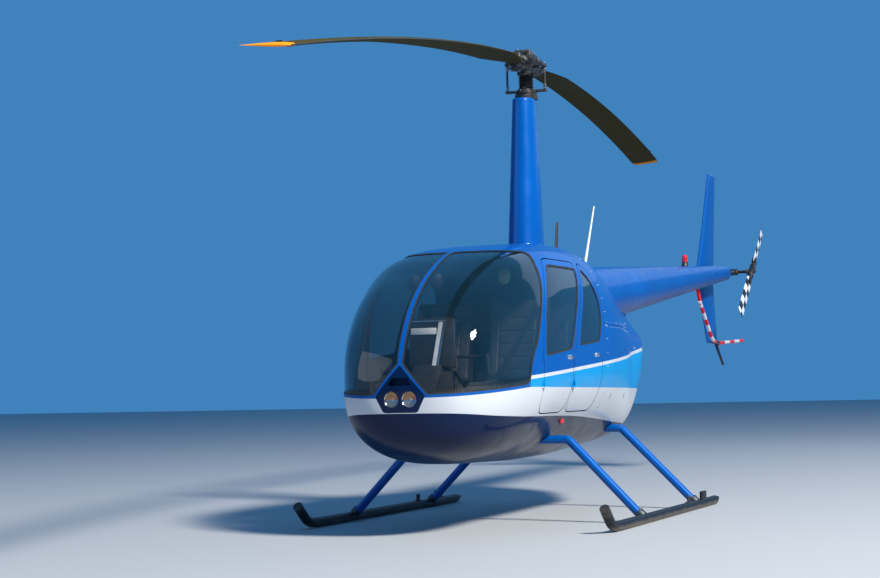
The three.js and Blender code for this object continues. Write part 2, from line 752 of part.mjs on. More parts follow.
const lowerFinGrown = fin(LOWER_FIN.map(([z, x, chord, thickness]) => [z, x, chord + 1, thickness + 1.2]));

function beacon() {
  const x = -4260;
  const top = boomAxis(x) + boomRadius(x);
  const base = turned([[0, top - 30], [30, top - 30], [30, top + 35], [0, top + 35]], x, 0, 24);
  const profile = [[0, top + 25], [27, top + 25], [27, top + 85], [18, top + 104], [0, top + 110]];
  const lens = turned(profile, x, 0, 24);
  return union(base, lens).subtract(tailBoomGrown);
}

// Tail rotor, turning about Y

function tailRotorHub() {
  const [x, y, z] = TAIL_ROTOR;
  const shaft = rod([x, y - TAIL_SHAFT + SEAM, z], [x, y + 45, z], 16, 16, 16);
  const along = [Math.cos(TAIL_BLADE_ANGLE), 0, Math.sin(TAIL_BLADE_ANGLE)];
  const yoke = rod(
    [x - along[0] * 85, y, z - along[2] * 85],
    [x + along[0] * 85, y, z + along[2] * 85],
    30, 30, 12,
  );
  return union(shaft, yoke);
}

function tailBlade(blade) {
  const [x, y, z] = TAIL_ROTOR;
  const stations = [[135, 90, 22], [190, TAIL_CHORD, 18], [TAIL_BLADE_TIP, TAIL_CHORD, 12]];
  const [c, s] = [Math.cos(TAIL_PITCH), Math.sin(TAIL_PITCH)];
  const rings = stations.map(([radius, chord, thickness]) => airfoil(chord, thickness, 12)
    .map(([u, v]) => [radius, v * c + u * s, u * c - v * s]));
  const cuff = rod([85 + SEAM, 0, 0], [145, 0, 0], 30, 20, 12);
  const degrees = -THREE.MathUtils.radToDeg(TAIL_BLADE_ANGLE) + (blade > 0 ? 0 : 180);
  return union(loft(rings), cuff).rotate([0, degrees, 0]).translate([x, y, z]);
}

// Landing gear

function crossTube([x, halfSpan, z]) {
  return rod([x, -halfSpan, z], [x, halfSpan, z], TUBE_RADIUS, TUBE_RADIUS, 20);
}

const skidClearance = [1, -1].map((side) => {
  const [y, radius] = [side * SKID_Y, SKID_RADIUS + SEAM];
  return rod([-1200, y, SKID_RADIUS], [1500, y, SKID_RADIUS], radius, radius, 16);
});

function leg([x, halfSpan, z], side) {
  const knee = [x, side * (halfSpan + 1.5), z];
  const strut = rod(knee, [x, side * SKID_Y, SKID_RADIUS], TUBE_RADIUS, TUBE_RADIUS, 20);
  const elbow = solid(new THREE.SphereGeometry(TUBE_RADIUS, 16, 8).translate(x, side * (halfSpan + 6), z));
  const shoe = rod([x, side * (SKID_Y - 44), 74], [x, side * SKID_Y, 40], 40, 40, 20);
  const [y0, y1] = side > 0 ? [-FAR, halfSpan + SEAM] : [-halfSpan - SEAM, FAR];
  const cut = box(x - 100, x + 100, y0, y1, 0, FAR);
  return union(strut, elbow, shoe).subtract(cut).subtract(skidClearance[side > 0 ? 0 : 1])
    .subtract(box(x - 200, x + 200, -FAR, FAR, -100, SKID_RADIUS));
}

function skid(side) {
  const y = side * SKID_Y;
  const tube = rod([-1010, y, SKID_RADIUS], [1400, y, SKID_RADIUS], SKID_RADIUS, SKID_RADIUS, 16);
  const tail = rod([-1100, y, SKID_RADIUS + 10], [-1000, y, SKID_RADIUS], 10, SKID_RADIUS, 16);
  const toePath = [[1385, y, SKID_RADIUS], [1530, y, SKID_RADIUS + 8], [1672, y, 158]];
  const toe = pathTube(toePath, SKID_RADIUS, 16, 7);
  const lug = box(-730, -600, y + side * 2 - 10, y + side * 2 + 10, 40, 118);
  const lugHole = rod([-622, y - 60, 92], [-622, y + 60, 92], 11, 11, 12);
  return union(tube, tail, toe, lug.subtract(lugHole));
}

// The assembly

const aircraft = new THREE.Group();
aircraft.position.x = MAST_X;

function addPart(name, manifold, color, roughness = 0.35, metalness = 0.1) {
  const material = new THREE.MeshStandardMaterial({ color, roughness, metalness, flatShading: true });
  const mesh = new THREE.Mesh(geometryOf(manifold), material);
  mesh.name = name;
  aircraft.add(mesh);
}

addPart('cabin_frame', cabinFrame(), BLUE);
addPart('lower_fuselage', lowerFuselage(), NAVY);
addPart('lamp_housing', lampHousing(), NAVY);
addPart('nose_lamps', lamps(), WHITE, 0.1, 0.4);
addPart('firewall', firewall(), GREY, 0.6);
addPart('cabin_floor', cabinFloor(), GREY, 0.9, 0);
addPart('console', instrumentConsole(), BLACK, 0.7);
addPart('cyclic', cyclic(), BLACK, 0.5);
addPart('upper_cowl', upperCowl(), BLUE);
addPart('tail_cowl', tailCowl(), BLUE);
addPart('engine', engine(), STEEL, 0.5, 0.6);
addPart('mast_fairing', mastFairing(), BLUE);
addPart('swashplate_fixed', ring(MAST_RADIUS + 8, 84, ...SWASH_FIXED), STEEL, 0.4, 0.7);

for (const [word, side] of [['left', 1], ['right', -1]]) {
  addPart(`windshield_${word}`, windshield(side), TINTED, 0.05, 0);
  addPart(`engine_cowl_${word}`, side > 0 ? sideCowl(side).subtract(exhaustHole()) : sideCowl(side), BLUE);
  for (const [row, door] of [['front', FRONT_DOOR], ['rear', REAR_DOOR]]) {
    addPart(`door_${row}_${word}`, doorPanel(door, side), BLUE);
    addPart(`door_glass_${row}_${word}`, doorGlass(door, side), TINTED, 0.05, 0);
    addPart(`seat_${row}_${word}`, seatPad(SEAT_ROWS[row], side), LEATHER, 0.7, 0);
    addPart(`leg_${row}_${word}`, leg(CROSS_TUBES[row], side), BLUE);
  }
  addPart(`skid_${word}`, skid(side), BLACK, 0.5, 0.5);
}

for (const row of ['front', 'rear']) {
  addPart(`seat_base_${row}`, seatBase(SEAT_ROWS[row]), GREY, 0.8);
  addPart(`cross_tube_${row}`, crossTube(CROSS_TUBES[row]), BLUE);
}

addPart('exhaust', exhaust(), STEEL, 0.5, 0.7);
addPart('tail_boom', tailBoom(BOOM_ROOT_X, 0), BLUE);
addPart('tail_gearbox', tailGearbox(), BLUE);
addPart('fin_upper', fin(UPPER_FIN), BLUE);
addPart('fin_lower', fin(LOWER_FIN), BLUE);
addPart('stabiliser', stabiliser(), BLUE);
addPart('tail_guard', tailGuard(), RED);
addPart('beacon', beacon(), RED, 0.2);

addPart('rotor_hub', rotorHub(), STEEL, 0.4, 0.7);
addPart('swashplate_turning', azimuthTurned(turningSwashplate()), STEEL, 0.4, 0.7);
addPart('blade_low', mainBlade(1), BLACK, 0.5);
addPart('blade_high', mainBlade(-1), BLACK, 0.5);
addPart('tail_rotor_hub', tailRotorHub(), STEEL, 0.4, 0.7);
addPart('tail_blade_upper', tailBlade(1), WHITE, 0.4);
addPart('tail_blade_lower', tailBlade(-1), WHITE, 0.4);

const model = new THREE.Group();
model.add(aircraft);

export default model;
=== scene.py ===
# %% [markdown]
# # A light helicopter, parked on its skids
# The solids of this aircraft come packed from CAD as a fixed frame. This lesson dresses them: smooth painted skins,
# tinted glass, a furnished cabin, and the small parts of the rotor head and tail. Lengths are metres. +X is the nose,
# +Y the left side, and the ground is z = 0. The body's tables are in millimetres ahead of the rotor mast.

# %% The frame
import math

import bpy
import numpy as np
from mathutils import Matrix, Vector


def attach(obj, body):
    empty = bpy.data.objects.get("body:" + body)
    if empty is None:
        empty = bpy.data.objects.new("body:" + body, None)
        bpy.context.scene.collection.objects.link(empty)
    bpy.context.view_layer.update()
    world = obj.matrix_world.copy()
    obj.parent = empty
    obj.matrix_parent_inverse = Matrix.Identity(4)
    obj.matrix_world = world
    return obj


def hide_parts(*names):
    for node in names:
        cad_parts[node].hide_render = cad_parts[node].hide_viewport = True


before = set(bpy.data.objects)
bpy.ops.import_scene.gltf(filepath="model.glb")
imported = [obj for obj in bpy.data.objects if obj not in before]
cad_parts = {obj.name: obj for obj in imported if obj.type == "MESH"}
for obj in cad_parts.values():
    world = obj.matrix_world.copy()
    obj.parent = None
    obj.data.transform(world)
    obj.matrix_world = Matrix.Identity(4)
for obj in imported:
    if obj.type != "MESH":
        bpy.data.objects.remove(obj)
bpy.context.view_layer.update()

MM = 0.001
MAST = 0.750

# %% [markdown]
# ## The camera
# A photograph fixes the eye: where it stood, where it looked and how long its lens was. These numbers were solved from
# the aircraft's known sizes. The matrix is built from three directions, because Blender's camera looks down its own -Z.

# %% The camera at the photograph's place
EYE = Vector((12.63, 4.35, 0.923))
YAW, PITCH, ROLL = math.radians(-156.9), math.radians(3.19), math.radians(-1.24)
ahead = Vector((math.cos(PITCH) * math.cos(YAW), math.cos(PITCH) * math.sin(YAW), math.sin(PITCH)))
level = Vector((math.sin(YAW), -math.cos(YAW), 0.0))
over = level.cross(ahead)
across = level * math.cos(ROLL) + over * math.sin(ROLL)
upward = over * math.cos(ROLL) - level * math.sin(ROLL)

bpy.ops.object.camera_add()
camera = bpy.context.object
camera.matrix_world = Matrix((across, upward, -ahead)).transposed().to_4x4()
camera.location = EYE
camera.data.sensor_width = 36.0
camera.data.lens = 71.43
camera.data.clip_end = 200.0
bpy.context.scene.camera = camera
print("camera at", tuple(EYE))

# %% [markdown]
# ## The studio
# Glossy paint shows what is around it more than it shows itself, so the lights are large soft panels. One stands high
# on the left, where the sun stood, one fills from the right, and one from behind outlines the back. The floor is a
# wide pale plane.

# %% Floor, sky and soft panels
bpy.ops.mesh.primitive_plane_add(size=120.0)
floor = bpy.context.object
floor.name = "studio_floor"
floor_paint = bpy.data.materials.new("pale_floor")
floor_paint.use_nodes = True
floor_shader = floor_paint.node_tree.nodes["Principled BSDF"]
floor_shader.inputs["Base Color"].default_value = (0.35, 0.36, 0.37, 1)
floor_shader.inputs["Roughness"].default_value = 0.75
floor.data.materials.append(floor_paint)

world = bpy.data.worlds.new("studio_air")
world.use_nodes = True
world.node_tree.nodes["Background"].inputs["Color"].default_value = (0.10, 0.43, 0.97, 1)
world.node_tree.nodes["Background"].inputs["Strength"].default_value = 0.52
bpy.context.scene.world = world


def soft_panel(name, place, size, power, tint):
    """An area light that looks at the middle of the cabin."""
    bpy.ops.object.light_add(type="AREA", location=place)
    lamp = bpy.context.object
    lamp.name = name
    lamp.rotation_mode = "QUATERNION"
    lamp.rotation_quaternion = (Vector((1.0, 0.0, 1.2)) - Vector(place)).to_track_quat("-Z", "Y")
    lamp.data.shape = "RECTANGLE"
    lamp.data.size, lamp.data.size_y = size
    lamp.data.energy = power
    lamp.data.color = tint


soft_panel("key_left", (9.5, 17.0, 17.0), (3.8, 3.0), 13600, (1.0, 0.96, 0.88))
soft_panel("fill_right", (9.0, -9.0, 5.0), (8.0, 5.0), 90, (0.90, 0.95, 1.0))
soft_panel("back_rim", (-11.0, 3.0, 8.0), (12.0, 8.0), 120, (0.75, 0.88, 1.0))
bpy.context.scene.view_settings.view_transform = "Standard"
print("three soft panels")

# %% [markdown]
# ## Hands
# Everything below is made with the same few moves. A primitive is added, its points are put in place, and an edit or a
# modifier shapes it. These helpers give those moves short names. Each finished piece keeps its object at the origin, so
# that a pattern that reads object coordinates stays put.

# %% Helpers for modelling


def alone(piece):
    """Leaves edit mode and makes one object the only selected and active one."""
    if bpy.context.object and bpy.context.object.mode != "OBJECT":
        bpy.ops.object.mode_set(mode="OBJECT")
    bpy.ops.object.select_all(action="DESELECT")
    piece.select_set(True)
    bpy.context.view_layer.objects.active = piece
    return piece


def ring_of(x, y, z):
    """Points from three rows of coordinates. A row that is one number holds for all of them."""
    return np.stack(np.broadcast_arrays(x, y, z), axis=1)


def looked_up(table, at):
    """The columns of a table, read between its rows at a value of the first column."""
    return [np.interp(at, table[:, 0], column) for column in table[:, 1:].T]


def opened(piece):
    """Opens a piece in edit mode with everything selected."""
    alone(piece)
    bpy.ops.object.mode_set(mode="EDIT")
    bpy.ops.mesh.select_all(action="SELECT")


def worked(piece, kind, **settings):
    """Adds a modifier and applies it at once."""
    alone(piece)
    bpy.ops.object.modifier_add(type=kind)
    modifier = piece.modifiers[-1]
    for key, value in settings.items():
        setattr(modifier, key, value)
    bpy.ops.object.modifier_apply(modifier=modifier.name)
    return piece


def carved(piece, tool, how="DIFFERENCE"):
    """A boolean with another closed piece, which is then removed."""
    worked(piece, "BOOLEAN", operation=how, object=tool, solver="MANIFOLD")
    bpy.data.objects.remove(tool)
    return piece


def bevelled(piece, width, segments=2):
    """Rounds the sharp edges."""
    return worked(piece, "BEVEL", width=width, segments=segments, limit_method="ANGLE")


def placed(piece):
    """Puts location, turn and scale into the mesh, so that the object is at the origin."""
    alone(piece)
    bpy.ops.object.transform_apply(location=True, rotation=True, scale=True)
    return piece


def outwards(piece):
    """Merges doubled points and turns every face outwards."""
    opened(piece)
    bpy.ops.mesh.remove_doubles(threshold=1e-6)
    bpy.ops.mesh.dissolve_degenerate(threshold=1e-7)
    bpy.ops.mesh.normals_make_consistent(inside=False)
    bpy.ops.object.mode_set(mode="OBJECT")
    return piece


def copied(piece):
    """A copy with a mesh of its own."""
    twin = piece.copy()
    twin.data = piece.data.copy()
    bpy.context.scene.collection.objects.link(twin)
    return twin


def flipped(piece):
    """Turns every face round."""
    opened(piece)
    bpy.ops.mesh.flip_normals()
    bpy.ops.object.mode_set(mode="OBJECT")
    return piece


def mirrored(piece):
    """The other side's copy: mirrored over the aircraft's middle plane, with its faces turned back outwards."""
    twin = copied(piece)
    twin.data.transform(Matrix.Scale(-1, 4, (0, 1, 0)))
    return flipped(twin)


def moved(piece, shift, turn=Matrix()):
    """Turns a piece's mesh about the origin and then shifts it."""
    piece.data.transform(Matrix.Translation(shift) @ turn.to_4x4())
    return piece


SLOTS = [bpy.data.materials.new(f"slot_{k}") for k in range(4)]


def slotted(piece, index=0):
    """Gives a piece numbered stand-in slots with all its faces on one of them, so that a join keeps the slots apart."""
    piece.data.materials.clear()
    for slot in SLOTS:
        piece.data.materials.append(slot)
    for face in piece.data.polygons:
        face.material_index = index
    return piece


def joined(pieces):
    """Several meshes as one piece."""
    alone(pieces[0])
    for piece in pieces[1:]:
        piece.select_set(True)
    if len(pieces) > 1:
        bpy.ops.object.join()
    return bpy.context.object


def grouped(*groups):
    """Groups of pieces as one piece. The faces of the first group take the first material, and so on."""
    return joined([joined([slotted(piece, index) for piece in group]) for index, group in enumerate(groups) if group])


def finished(piece, name, materials, body="airframe", stands_for=(), angle=32):
    """Names a piece, gives it its finish and its body, and hides the parts that it replaces."""
    placed(piece)
    piece.name = piece.data.name = name
    materials = materials if isinstance(materials, (list, tuple)) else [materials]
    slots = piece.data.materials
    for index, material in enumerate(materials):
        if index < len(slots):
            slots[index] = material
        else:
            slots.append(material)
    while len(slots) > len(materials):
        slots.pop()
    bpy.ops.object.shade_smooth_by_angle(angle=math.radians(angle))
    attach(piece, body)
    if stands_for:
        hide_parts(*stands_for)
    print(name, len(piece.data.polygons), "faces")
    return piece


def paired(piece, name, materials, body="airframe", stands_for="", angle=32):
    """Finishes a left piece and its mirror image, each standing for one node. In a name {} is left or right."""
    twin = mirrored(piece)
    for side, half in (("left", piece), ("right", twin)):
        finished(half, name.format(side), materials, body.format(side),
                 (stands_for.format(side),) if stands_for else (), angle)
    return piece, twin


# %% Helpers for first shapes


def block(low, high, bevel=0.0, segments=2):
    """A box between two corners, with rounded edges."""
    low, high = Vector(low), Vector(high)
    bpy.ops.mesh.primitive_cube_add(size=1.0, location=(low + high) / 2)
    piece = bpy.context.object
    piece.scale = high - low
    placed(piece)
    if bevel:
        bevelled(piece, bevel, segments)
    return piece


def bar(start, end, radius, end_radius=None, sides=24, bevel=0.0):
    """A round bar or cone between two points."""
    start, end = Vector(start), Vector(end)
    along = end - start
    bpy.ops.mesh.primitive_cone_add(
        vertices=sides,
        radius1=radius,
        radius2=radius if end_radius is None else end_radius,
        depth=along.length,
        location=(start + end) / 2,
        rotation=along.to_track_quat("Z", "Y").to_euler(),
    )
    piece = placed(bpy.context.object)
    if bevel:
        worked(piece, "BEVEL", width=bevel, segments=2, limit_method="ANGLE", angle_limit=math.radians(50))
    return piece


def prism(points, low, high, plane="xz"):
    """An outline pushed straight through. In plane xz it runs along Y, in yz along X and in xy along Z."""
    bpy.ops.mesh.primitive_circle_add(vertices=len(points), fill_type="NGON")
    piece = bpy.context.object
    at = {"xz": lambda u, v, w: (u, w, v), "yz": lambda u, v, w: (w, u, v), "xy": lambda u, v, w: (u, v, w)}[plane]
    for vertex, (u, v) in zip(piece.data.vertices, points):
        vertex.co = at(u, v, low)
    opened(piece)
    move = Vector(at(0, 0, high - low))
    bpy.ops.mesh.extrude_region_move(TRANSFORM_OT_translate={"value": move})
    return outwards(piece)


AXES = {"X": (1, 0, 0), "Y": (0, 1, 0), "Z": (0, 0, 1)}


def turned(profile, centre=(0, 0, 0), axis="Z", steps=64):
    """A closed outline of (radius, distance along the axis), spun once round an axis through the centre."""
    bpy.ops.mesh.primitive_circle_add(vertices=len(profile), fill_type="NOTHING")
    piece = bpy.context.object
    for vertex, (radius, along) in zip(piece.data.vertices, profile):
        vertex.co = (radius, 0, along)
    opened(piece)
    bpy.ops.mesh.spin(steps=steps, angle=2 * math.pi, center=(0, 0, 0), axis=(0, 0, 1))
    direction = Vector(AXES[axis] if isinstance(axis, str) else axis)
    return moved(outwards(piece), centre, direction.to_track_quat("Z", "Y").to_matrix())


def loft(rings):
    """A skin over rings of points: a grid is rolled up, its seam is merged and its ends are filled."""
    rings = np.asarray(rings, float)
    rows, count = rings.shape[:2]
    bpy.ops.mesh.primitive_grid_add(x_subdivisions=count, y_subdivisions=rows - 1)
    piece = bpy.context.object
    points = np.concatenate([rings, rings[:, :1]], axis=1)
    piece.data.vertices.foreach_set("co", points.ravel())
    piece.data.update()
    opened(outwards(piece))
    bpy.ops.mesh.fill_holes(sides=0)
    return outwards(piece)

def scattered(model, places, name):
    """Copies of a small model joined into one mesh. Each place is a point and the direction its top faces."""
    base = np.array([vertex.co for vertex in model.data.vertices])
    faces = [list(face.vertices) for face in model.data.polygons]
    points, polygons = [], []
    for place, facing in places:
        turn = np.array(Vector(facing).to_track_quat("Z", "Y").to_matrix())
        polygons += [[i + len(base) * len(points) for i in face] for face in faces]
        points.append(base @ turn.T + np.array(place))
    mesh = bpy.data.meshes.new(name)
    mesh.from_pydata(np.concatenate(points).tolist(), [], polygons)
    bpy.data.objects.remove(model)
    piece = bpy.data.objects.new(name, mesh)
    bpy.context.scene.collection.objects.link(piece)
    return piece


print("helpers ready")

# %% [markdown]
# ## Paint
# Aircraft paint is a colour coat with fine metal flake under a clear coat. The flake is a voronoi pattern a millimetre
# across in the bump, the clear coat is the shader's coat, and a slower noise in the bump stands for the faint orange
# peel of sprayed lacquer. The bands on the flanks run over doors and cowls alike, so they are not pieces: they are
# worked out from the height and station of each point, and so they meet across every gap.

# %% Helpers for finishes


def finish_of(name, colour=(0.5, 0.5, 0.5), **sockets):
    """A material whose shader sockets are set from names such as metallic or coat_weight."""
    material = bpy.data.materials.new(name)
    material.use_nodes = True
    shader = material.node_tree.nodes["Principled BSDF"]
    shader.inputs["Base Color"].default_value = (*colour, 1)
    for socket, value in sockets.items():
        shader.inputs[socket.replace("_", " ").title().replace("Ior", "IOR")].default_value = value
    return material


def linked(material, source, target):
    """Joins an output to an input. A target that is only named is an input of the shader."""
    tree = material.node_tree
    tree.links.new(source, tree.nodes["Principled BSDF"].inputs[target] if isinstance(target, str) else target)


def node(material, kind, **settings):
    """A new node. Settings that name an input set its value, and the others set the node itself."""
    made = material.node_tree.nodes.new(kind)
    for key, value in settings.items():
        if key in made.inputs:
            made.inputs[key].default_value = value
        else:
            setattr(made, key, value)
    return made


def on_object(material, kind, **settings):
    """A node fed with object coordinates, which stay put on a piece whose object is at the origin."""
    made = node(material, kind, **settings)
    linked(material, node(material, "ShaderNodeTexCoord").outputs["Object"], made.inputs["Vector"])
    return made


def noise(material, scale, detail=3.0, stretch=(1, 1, 1)):
    """A noise pattern, whose scale is in waves per metre."""
    pattern = node(material, "ShaderNodeTexNoise", Scale=scale, Detail=detail)
    mapping = on_object(material, "ShaderNodeMapping", Scale=stretch)
    linked(material, mapping.outputs["Vector"], pattern.inputs["Vector"])
    return pattern.outputs["Fac"]


def bumped(material, height, strength, distance):
    """Sends a height pattern to the shader's normal, on top of a bump that is there already."""
    bump = node(material, "ShaderNodeBump", Strength=strength, Distance=distance)
    before = material.node_tree.nodes["Principled BSDF"].inputs["Normal"].links
    if before:
        linked(material, before[0].from_socket, bump.inputs["Normal"])
    linked(material, height, bump.inputs["Height"])
    linked(material, bump.outputs["Normal"], "Normal")


def mixed(material, share, first, second, low=0.35, high=0.65):
    """Blends two colours by a pattern, between a low and a high value of it, into the shader's colour."""
    ramp = node(material, "ShaderNodeValToRGB")
    for stop, place, colour in zip(ramp.color_ramp.elements, (low, high), (first, second)):
        stop.position = place
        stop.color = (*colour, 1)
    linked(material, share, ramp.inputs["Fac"])
    linked(material, ramp.outputs["Color"], "Base Color")


def mapped(material, share, limits, target):
    """Maps a pattern from one range to another, given as four limits, and sends it to one of the shader's inputs."""
    span = node(material, "ShaderNodeMapRange")
    for socket, value in zip(("From Min", "From Max", "To Min", "To Max"), limits):
        span.inputs[socket].default_value = value
    linked(material, share, span.inputs["Value"])
    linked(material, span.outputs["Result"], target)


def rough(material, share, low, high):
    """Lets the roughness follow a pattern."""
    mapped(material, share, (0.3, 0.7, low, high), "Roughness")


def mottled(name, tone, first, second, wear=None, relief=None, low=0.35, high=0.65, **sockets):
    """A finish that drifts between two colours. Each of tone, wear and relief starts with its noise's settings."""
    material = finish_of(name, **sockets)
    mixed(material, noise(material, *tone), first, second, low, high)
    if wear:
        rough(material, noise(material, *wear[0]), *wear[1:])
    if relief:
        bumped(material, noise(material, *relief[0]), *relief[1:])
    return material


def arithmetic(material, operation, *values):
    """A math node. Each value is a number or a socket."""
    step = node(material, "ShaderNodeMath", operation=operation)
    for socket, value in zip(step.inputs, values):
        if isinstance(value, (int, float)):
            socket.default_value = value
        else:
            linked(material, value, socket)
    return step.outputs["Value"]


def blended(material, share, first, second, kind="MIX"):
    """Mixes two colours, each given as numbers or as a socket, by a share that is a number or a socket."""
    layer = node(material, "ShaderNodeMix", data_type="RGBA", blend_type=kind)
    for index, value in ((0, share), (6, first), (7, second)):
        if isinstance(value, (int, float)):
            layer.inputs[index].default_value = value
        elif isinstance(value, tuple):
            layer.inputs[index].default_value = (*value, 1)
        else:
            linked(material, value, layer.inputs[index])
    return layer.outputs[2]


# %% The paint colours
ROYAL = (0.0, 0.080, 0.345)
NAVY = (0.0, 0.010, 0.050)
CYAN = (0.002, 0.27, 0.62)
WHITE = (0.56, 0.59, 0.63)
LACQUER = dict(metallic=0.10, roughness=0.40, specular_ior_level=0.10, coat_weight=0.28, coat_roughness=0.04)


def flaked(material):
    """Orange peel and metal flake for a lacquered paint."""
    bumped(material, on_object(material, "ShaderNodeTexVoronoi", Scale=900.0).outputs["Color"], 0.012, 0.0003)
    bumped(material, noise(material, 140.0, 2.0), 0.012, 0.0005)
    rough(material, noise(material, 9.0, 4.0), 0.28, 0.42)
    return material


def painted(name, colour):
    """One colour of lacquer, a little uneven as sprayed paint is."""
    darker = tuple(0.86 * c for c in colour)
    return flaked(mottled(name, (2.2, 5), darker, colour, low=0.3, high=0.7, **LACQUER))


royal_paint = painted("royal_lacquer", ROYAL)
navy_paint = painted("navy_lacquer", NAVY)


# %% The banded paint of the fuselage
def banded_paint():
    """Navy below, a white band, a cyan wedge, a thin white line, and royal blue above."""
    material = flaked(finish_of("banded_lacquer", **LACQUER))
    split = on_object(material, "ShaderNodeSeparateXYZ")
    x, z = split.outputs["X"], split.outputs["Z"]

    def straight(x0, z0, x1, z1):
        """Height of a straight line through two points, at the shaded point's station."""
        slope = (z1 - z0) / (x1 - x0)
        return arithmetic(material, "MULTIPLY_ADD", x, slope, z0 - slope * x0)

    def above(line):
        return arithmetic(material, "GREATER_THAN", z, line)

    def both(first, second):
        return arithmetic(material, "MULTIPLY", first, second)

    belly = node(material, "ShaderNodeFloatCurve")
    curve = belly.mapping.curves[0]
    curve.points[0].location = (0.0, 0.55)
    curve.points[-1].location = (1.0, 0.785)
    for station, height in ((0.01, 0.620), (0.82, 0.672), (1.46, 0.706), (2.73, 0.737), (3.08, 0.764)):
        curve.points.new(0.2 * station + 0.3, height)
    belly.mapping.update()
    linked(material, arithmetic(material, "MULTIPLY_ADD", x, 0.2, 0.3), belly.inputs["Value"])
    aft = arithmetic(material, "LESS_THAN", x, 2.445)
    ahead_of_doors = arithmetic(material, "SUBTRACT", 1.0, aft)
    over_white = above(arithmetic(material, "ADD", both(aft, straight(2.444, 0.907, -0.205, 0.877)),
                                  both(ahead_of_doors, straight(2.445, 0.907, 3.250, 0.844))))
    royal = arithmetic(material, "MAXIMUM", above(straight(2.419, 0.979, -0.455, 1.171)),
                       both(over_white, ahead_of_doors))
    colour = blended(material, above(belly.outputs["Value"]), NAVY, WHITE)
    colour = blended(material, both(over_white, aft), colour, CYAN)
    colour = blended(material, above(straight(2.419, 0.957, -0.455, 1.149)), colour, WHITE)
    colour = blended(material, royal, colour, ROYAL)
    colour = blended(material, 0.18, colour, noise(material, 2.2, 5.0), "MULTIPLY")
    linked(material, colour, "Base Color")
    return material


body_paint = banded_paint()
print("paints:", [m.name for m in (royal_paint, navy_paint, body_paint)])

# %% [markdown]
# ## The fuselage skin
# The body is one smooth shape from nose to boom. It is given by a table of sections: at each station a half width, the
# heights of its widest point, top and bottom, and how square the curve is above and below. Between the rows each
# number follows a smooth curve without overshoot. One fine skin is made from it and every panel is cut out of that same
# skin, so that doors, cowls and glass lie flush with each other, as they do on the real aircraft.

# %% The table of sections
# station, half width, height of the widest point, top, bottom, squareness above, squareness below
SECTIONS = np.array([
    (2345, 20, 920, 950, 890, 2.0, 2.0), (2325, 220, 920, 1060, 720, 2.1, 2.2),
    (2250, 375, 940, 1245, 575, 2.3, 2.4), (2100, 490, 960, 1447, 490, 2.7, 2.5),
    (1850, 575, 980, 1634, 440, 3.1, 2.4), (1500, 628, 1000, 1785, 425, 3.7, 2.1),
    (1100, 643, 1000, 1852, 415, 4.0, 1.8), (600, 643, 1000, 1893, 405, 3.7, 1.75),
    (100, 630, 1020, 1905, 410, 3.0, 1.8), (-400, 580, 1040, 1900, 445, 2.2, 2.1),
    (-900, 480, 1053, 1897, 515, 1.51, 3.27), (-1400, 395, 1140, 1844, 618, 1.14, 2.29),
    (-1800, 274, 1283, 1684, 834, 0.98, 2.33), (-2000, 110, 1340, 1589, 1230, 1.43, 1.8),
    (-2100, 60, 1520, 1560, 1480, 2.0, 2.0),
], float)
NOSE_X = SECTIONS[0, 0]
COWL_END = SECTIONS[-1, 0]


def section_at(station):
    """The section's numbers at a station, by a cubic through the table that never overshoots."""
    i = int(np.clip(np.searchsorted(-SECTIONS[:, 0], -station) - 1, 0, len(SECTIONS) - 2))
    a, b = SECTIONS[i], SECTIONS[i + 1]
    before, after = SECTIONS[max(i - 1, 0)], SECTIONS[min(i + 2, len(SECTIONS) - 1)]
    step = b[0] - a[0]
    t = float(np.clip((station - a[0]) / step, 0, 1))
    chord = (b - a) / step
    slope_in = chord if i == 0 else (a - before) / (a[0] - before[0])
    slope_out = chord if i + 2 == len(SECTIONS) else (after - b) / (after[0] - b[0])

    def meeting(slope):
        total = slope + chord
        safe = np.where(total == 0, 1, total)
        return np.where(slope * chord > 0, 2 * slope * chord / safe, 0)

    t2, t3 = t * t, t * t * t
    return ((2 * t3 - 3 * t2 + 1) * a + (t3 - 2 * t2 + t) * step * meeting(slope_in)
            + (3 * t2 - 2 * t3) * b + (t3 - t2) * step * meeting(slope_out))


# %% One ring of the skin
QUARTER = 30


def skin_ring(station, inset=0.0):
    """Points round the body at a station, evenly spaced along each quarter, moved in by inset millimetres."""
    _, width, middle, top, bottom, above, below = section_at(station)
    half = max(width - inset, 2)
    fore = station - inset * np.clip((station - 1900) / (NOSE_X - 1900), 0, 1)
    angles = np.linspace(0, math.pi / 2, 160)
    quarters = []
    for rise, square, turn in ((max(top - inset - middle, 2), above, 1), (max(middle - bottom - inset, 2), below, -1)):
        y = half * np.abs(np.cos(angles)) ** (2 / square)
        z = rise * np.abs(np.sin(angles)) ** (2 / square)
        length = np.concatenate([[0], np.cumsum(np.hypot(np.diff(y), np.diff(z)))])
        even = np.linspace(0, length[-1], QUARTER + 1)
        quarters.append((np.interp(even, length, y), middle + turn * np.interp(even, length, z)))
    (y_up, z_up), (y_down, z_down) = quarters
    ys = np.concatenate([y_up, -y_up[-2::-1], -y_down[1:], y_down[-2:0:-1]])
    zs = np.concatenate([z_up, z_up[-2::-1], z_down[1:], z_down[-2:0:-1]])
    return ring_of(fore + MAST / MM, ys, zs) * MM


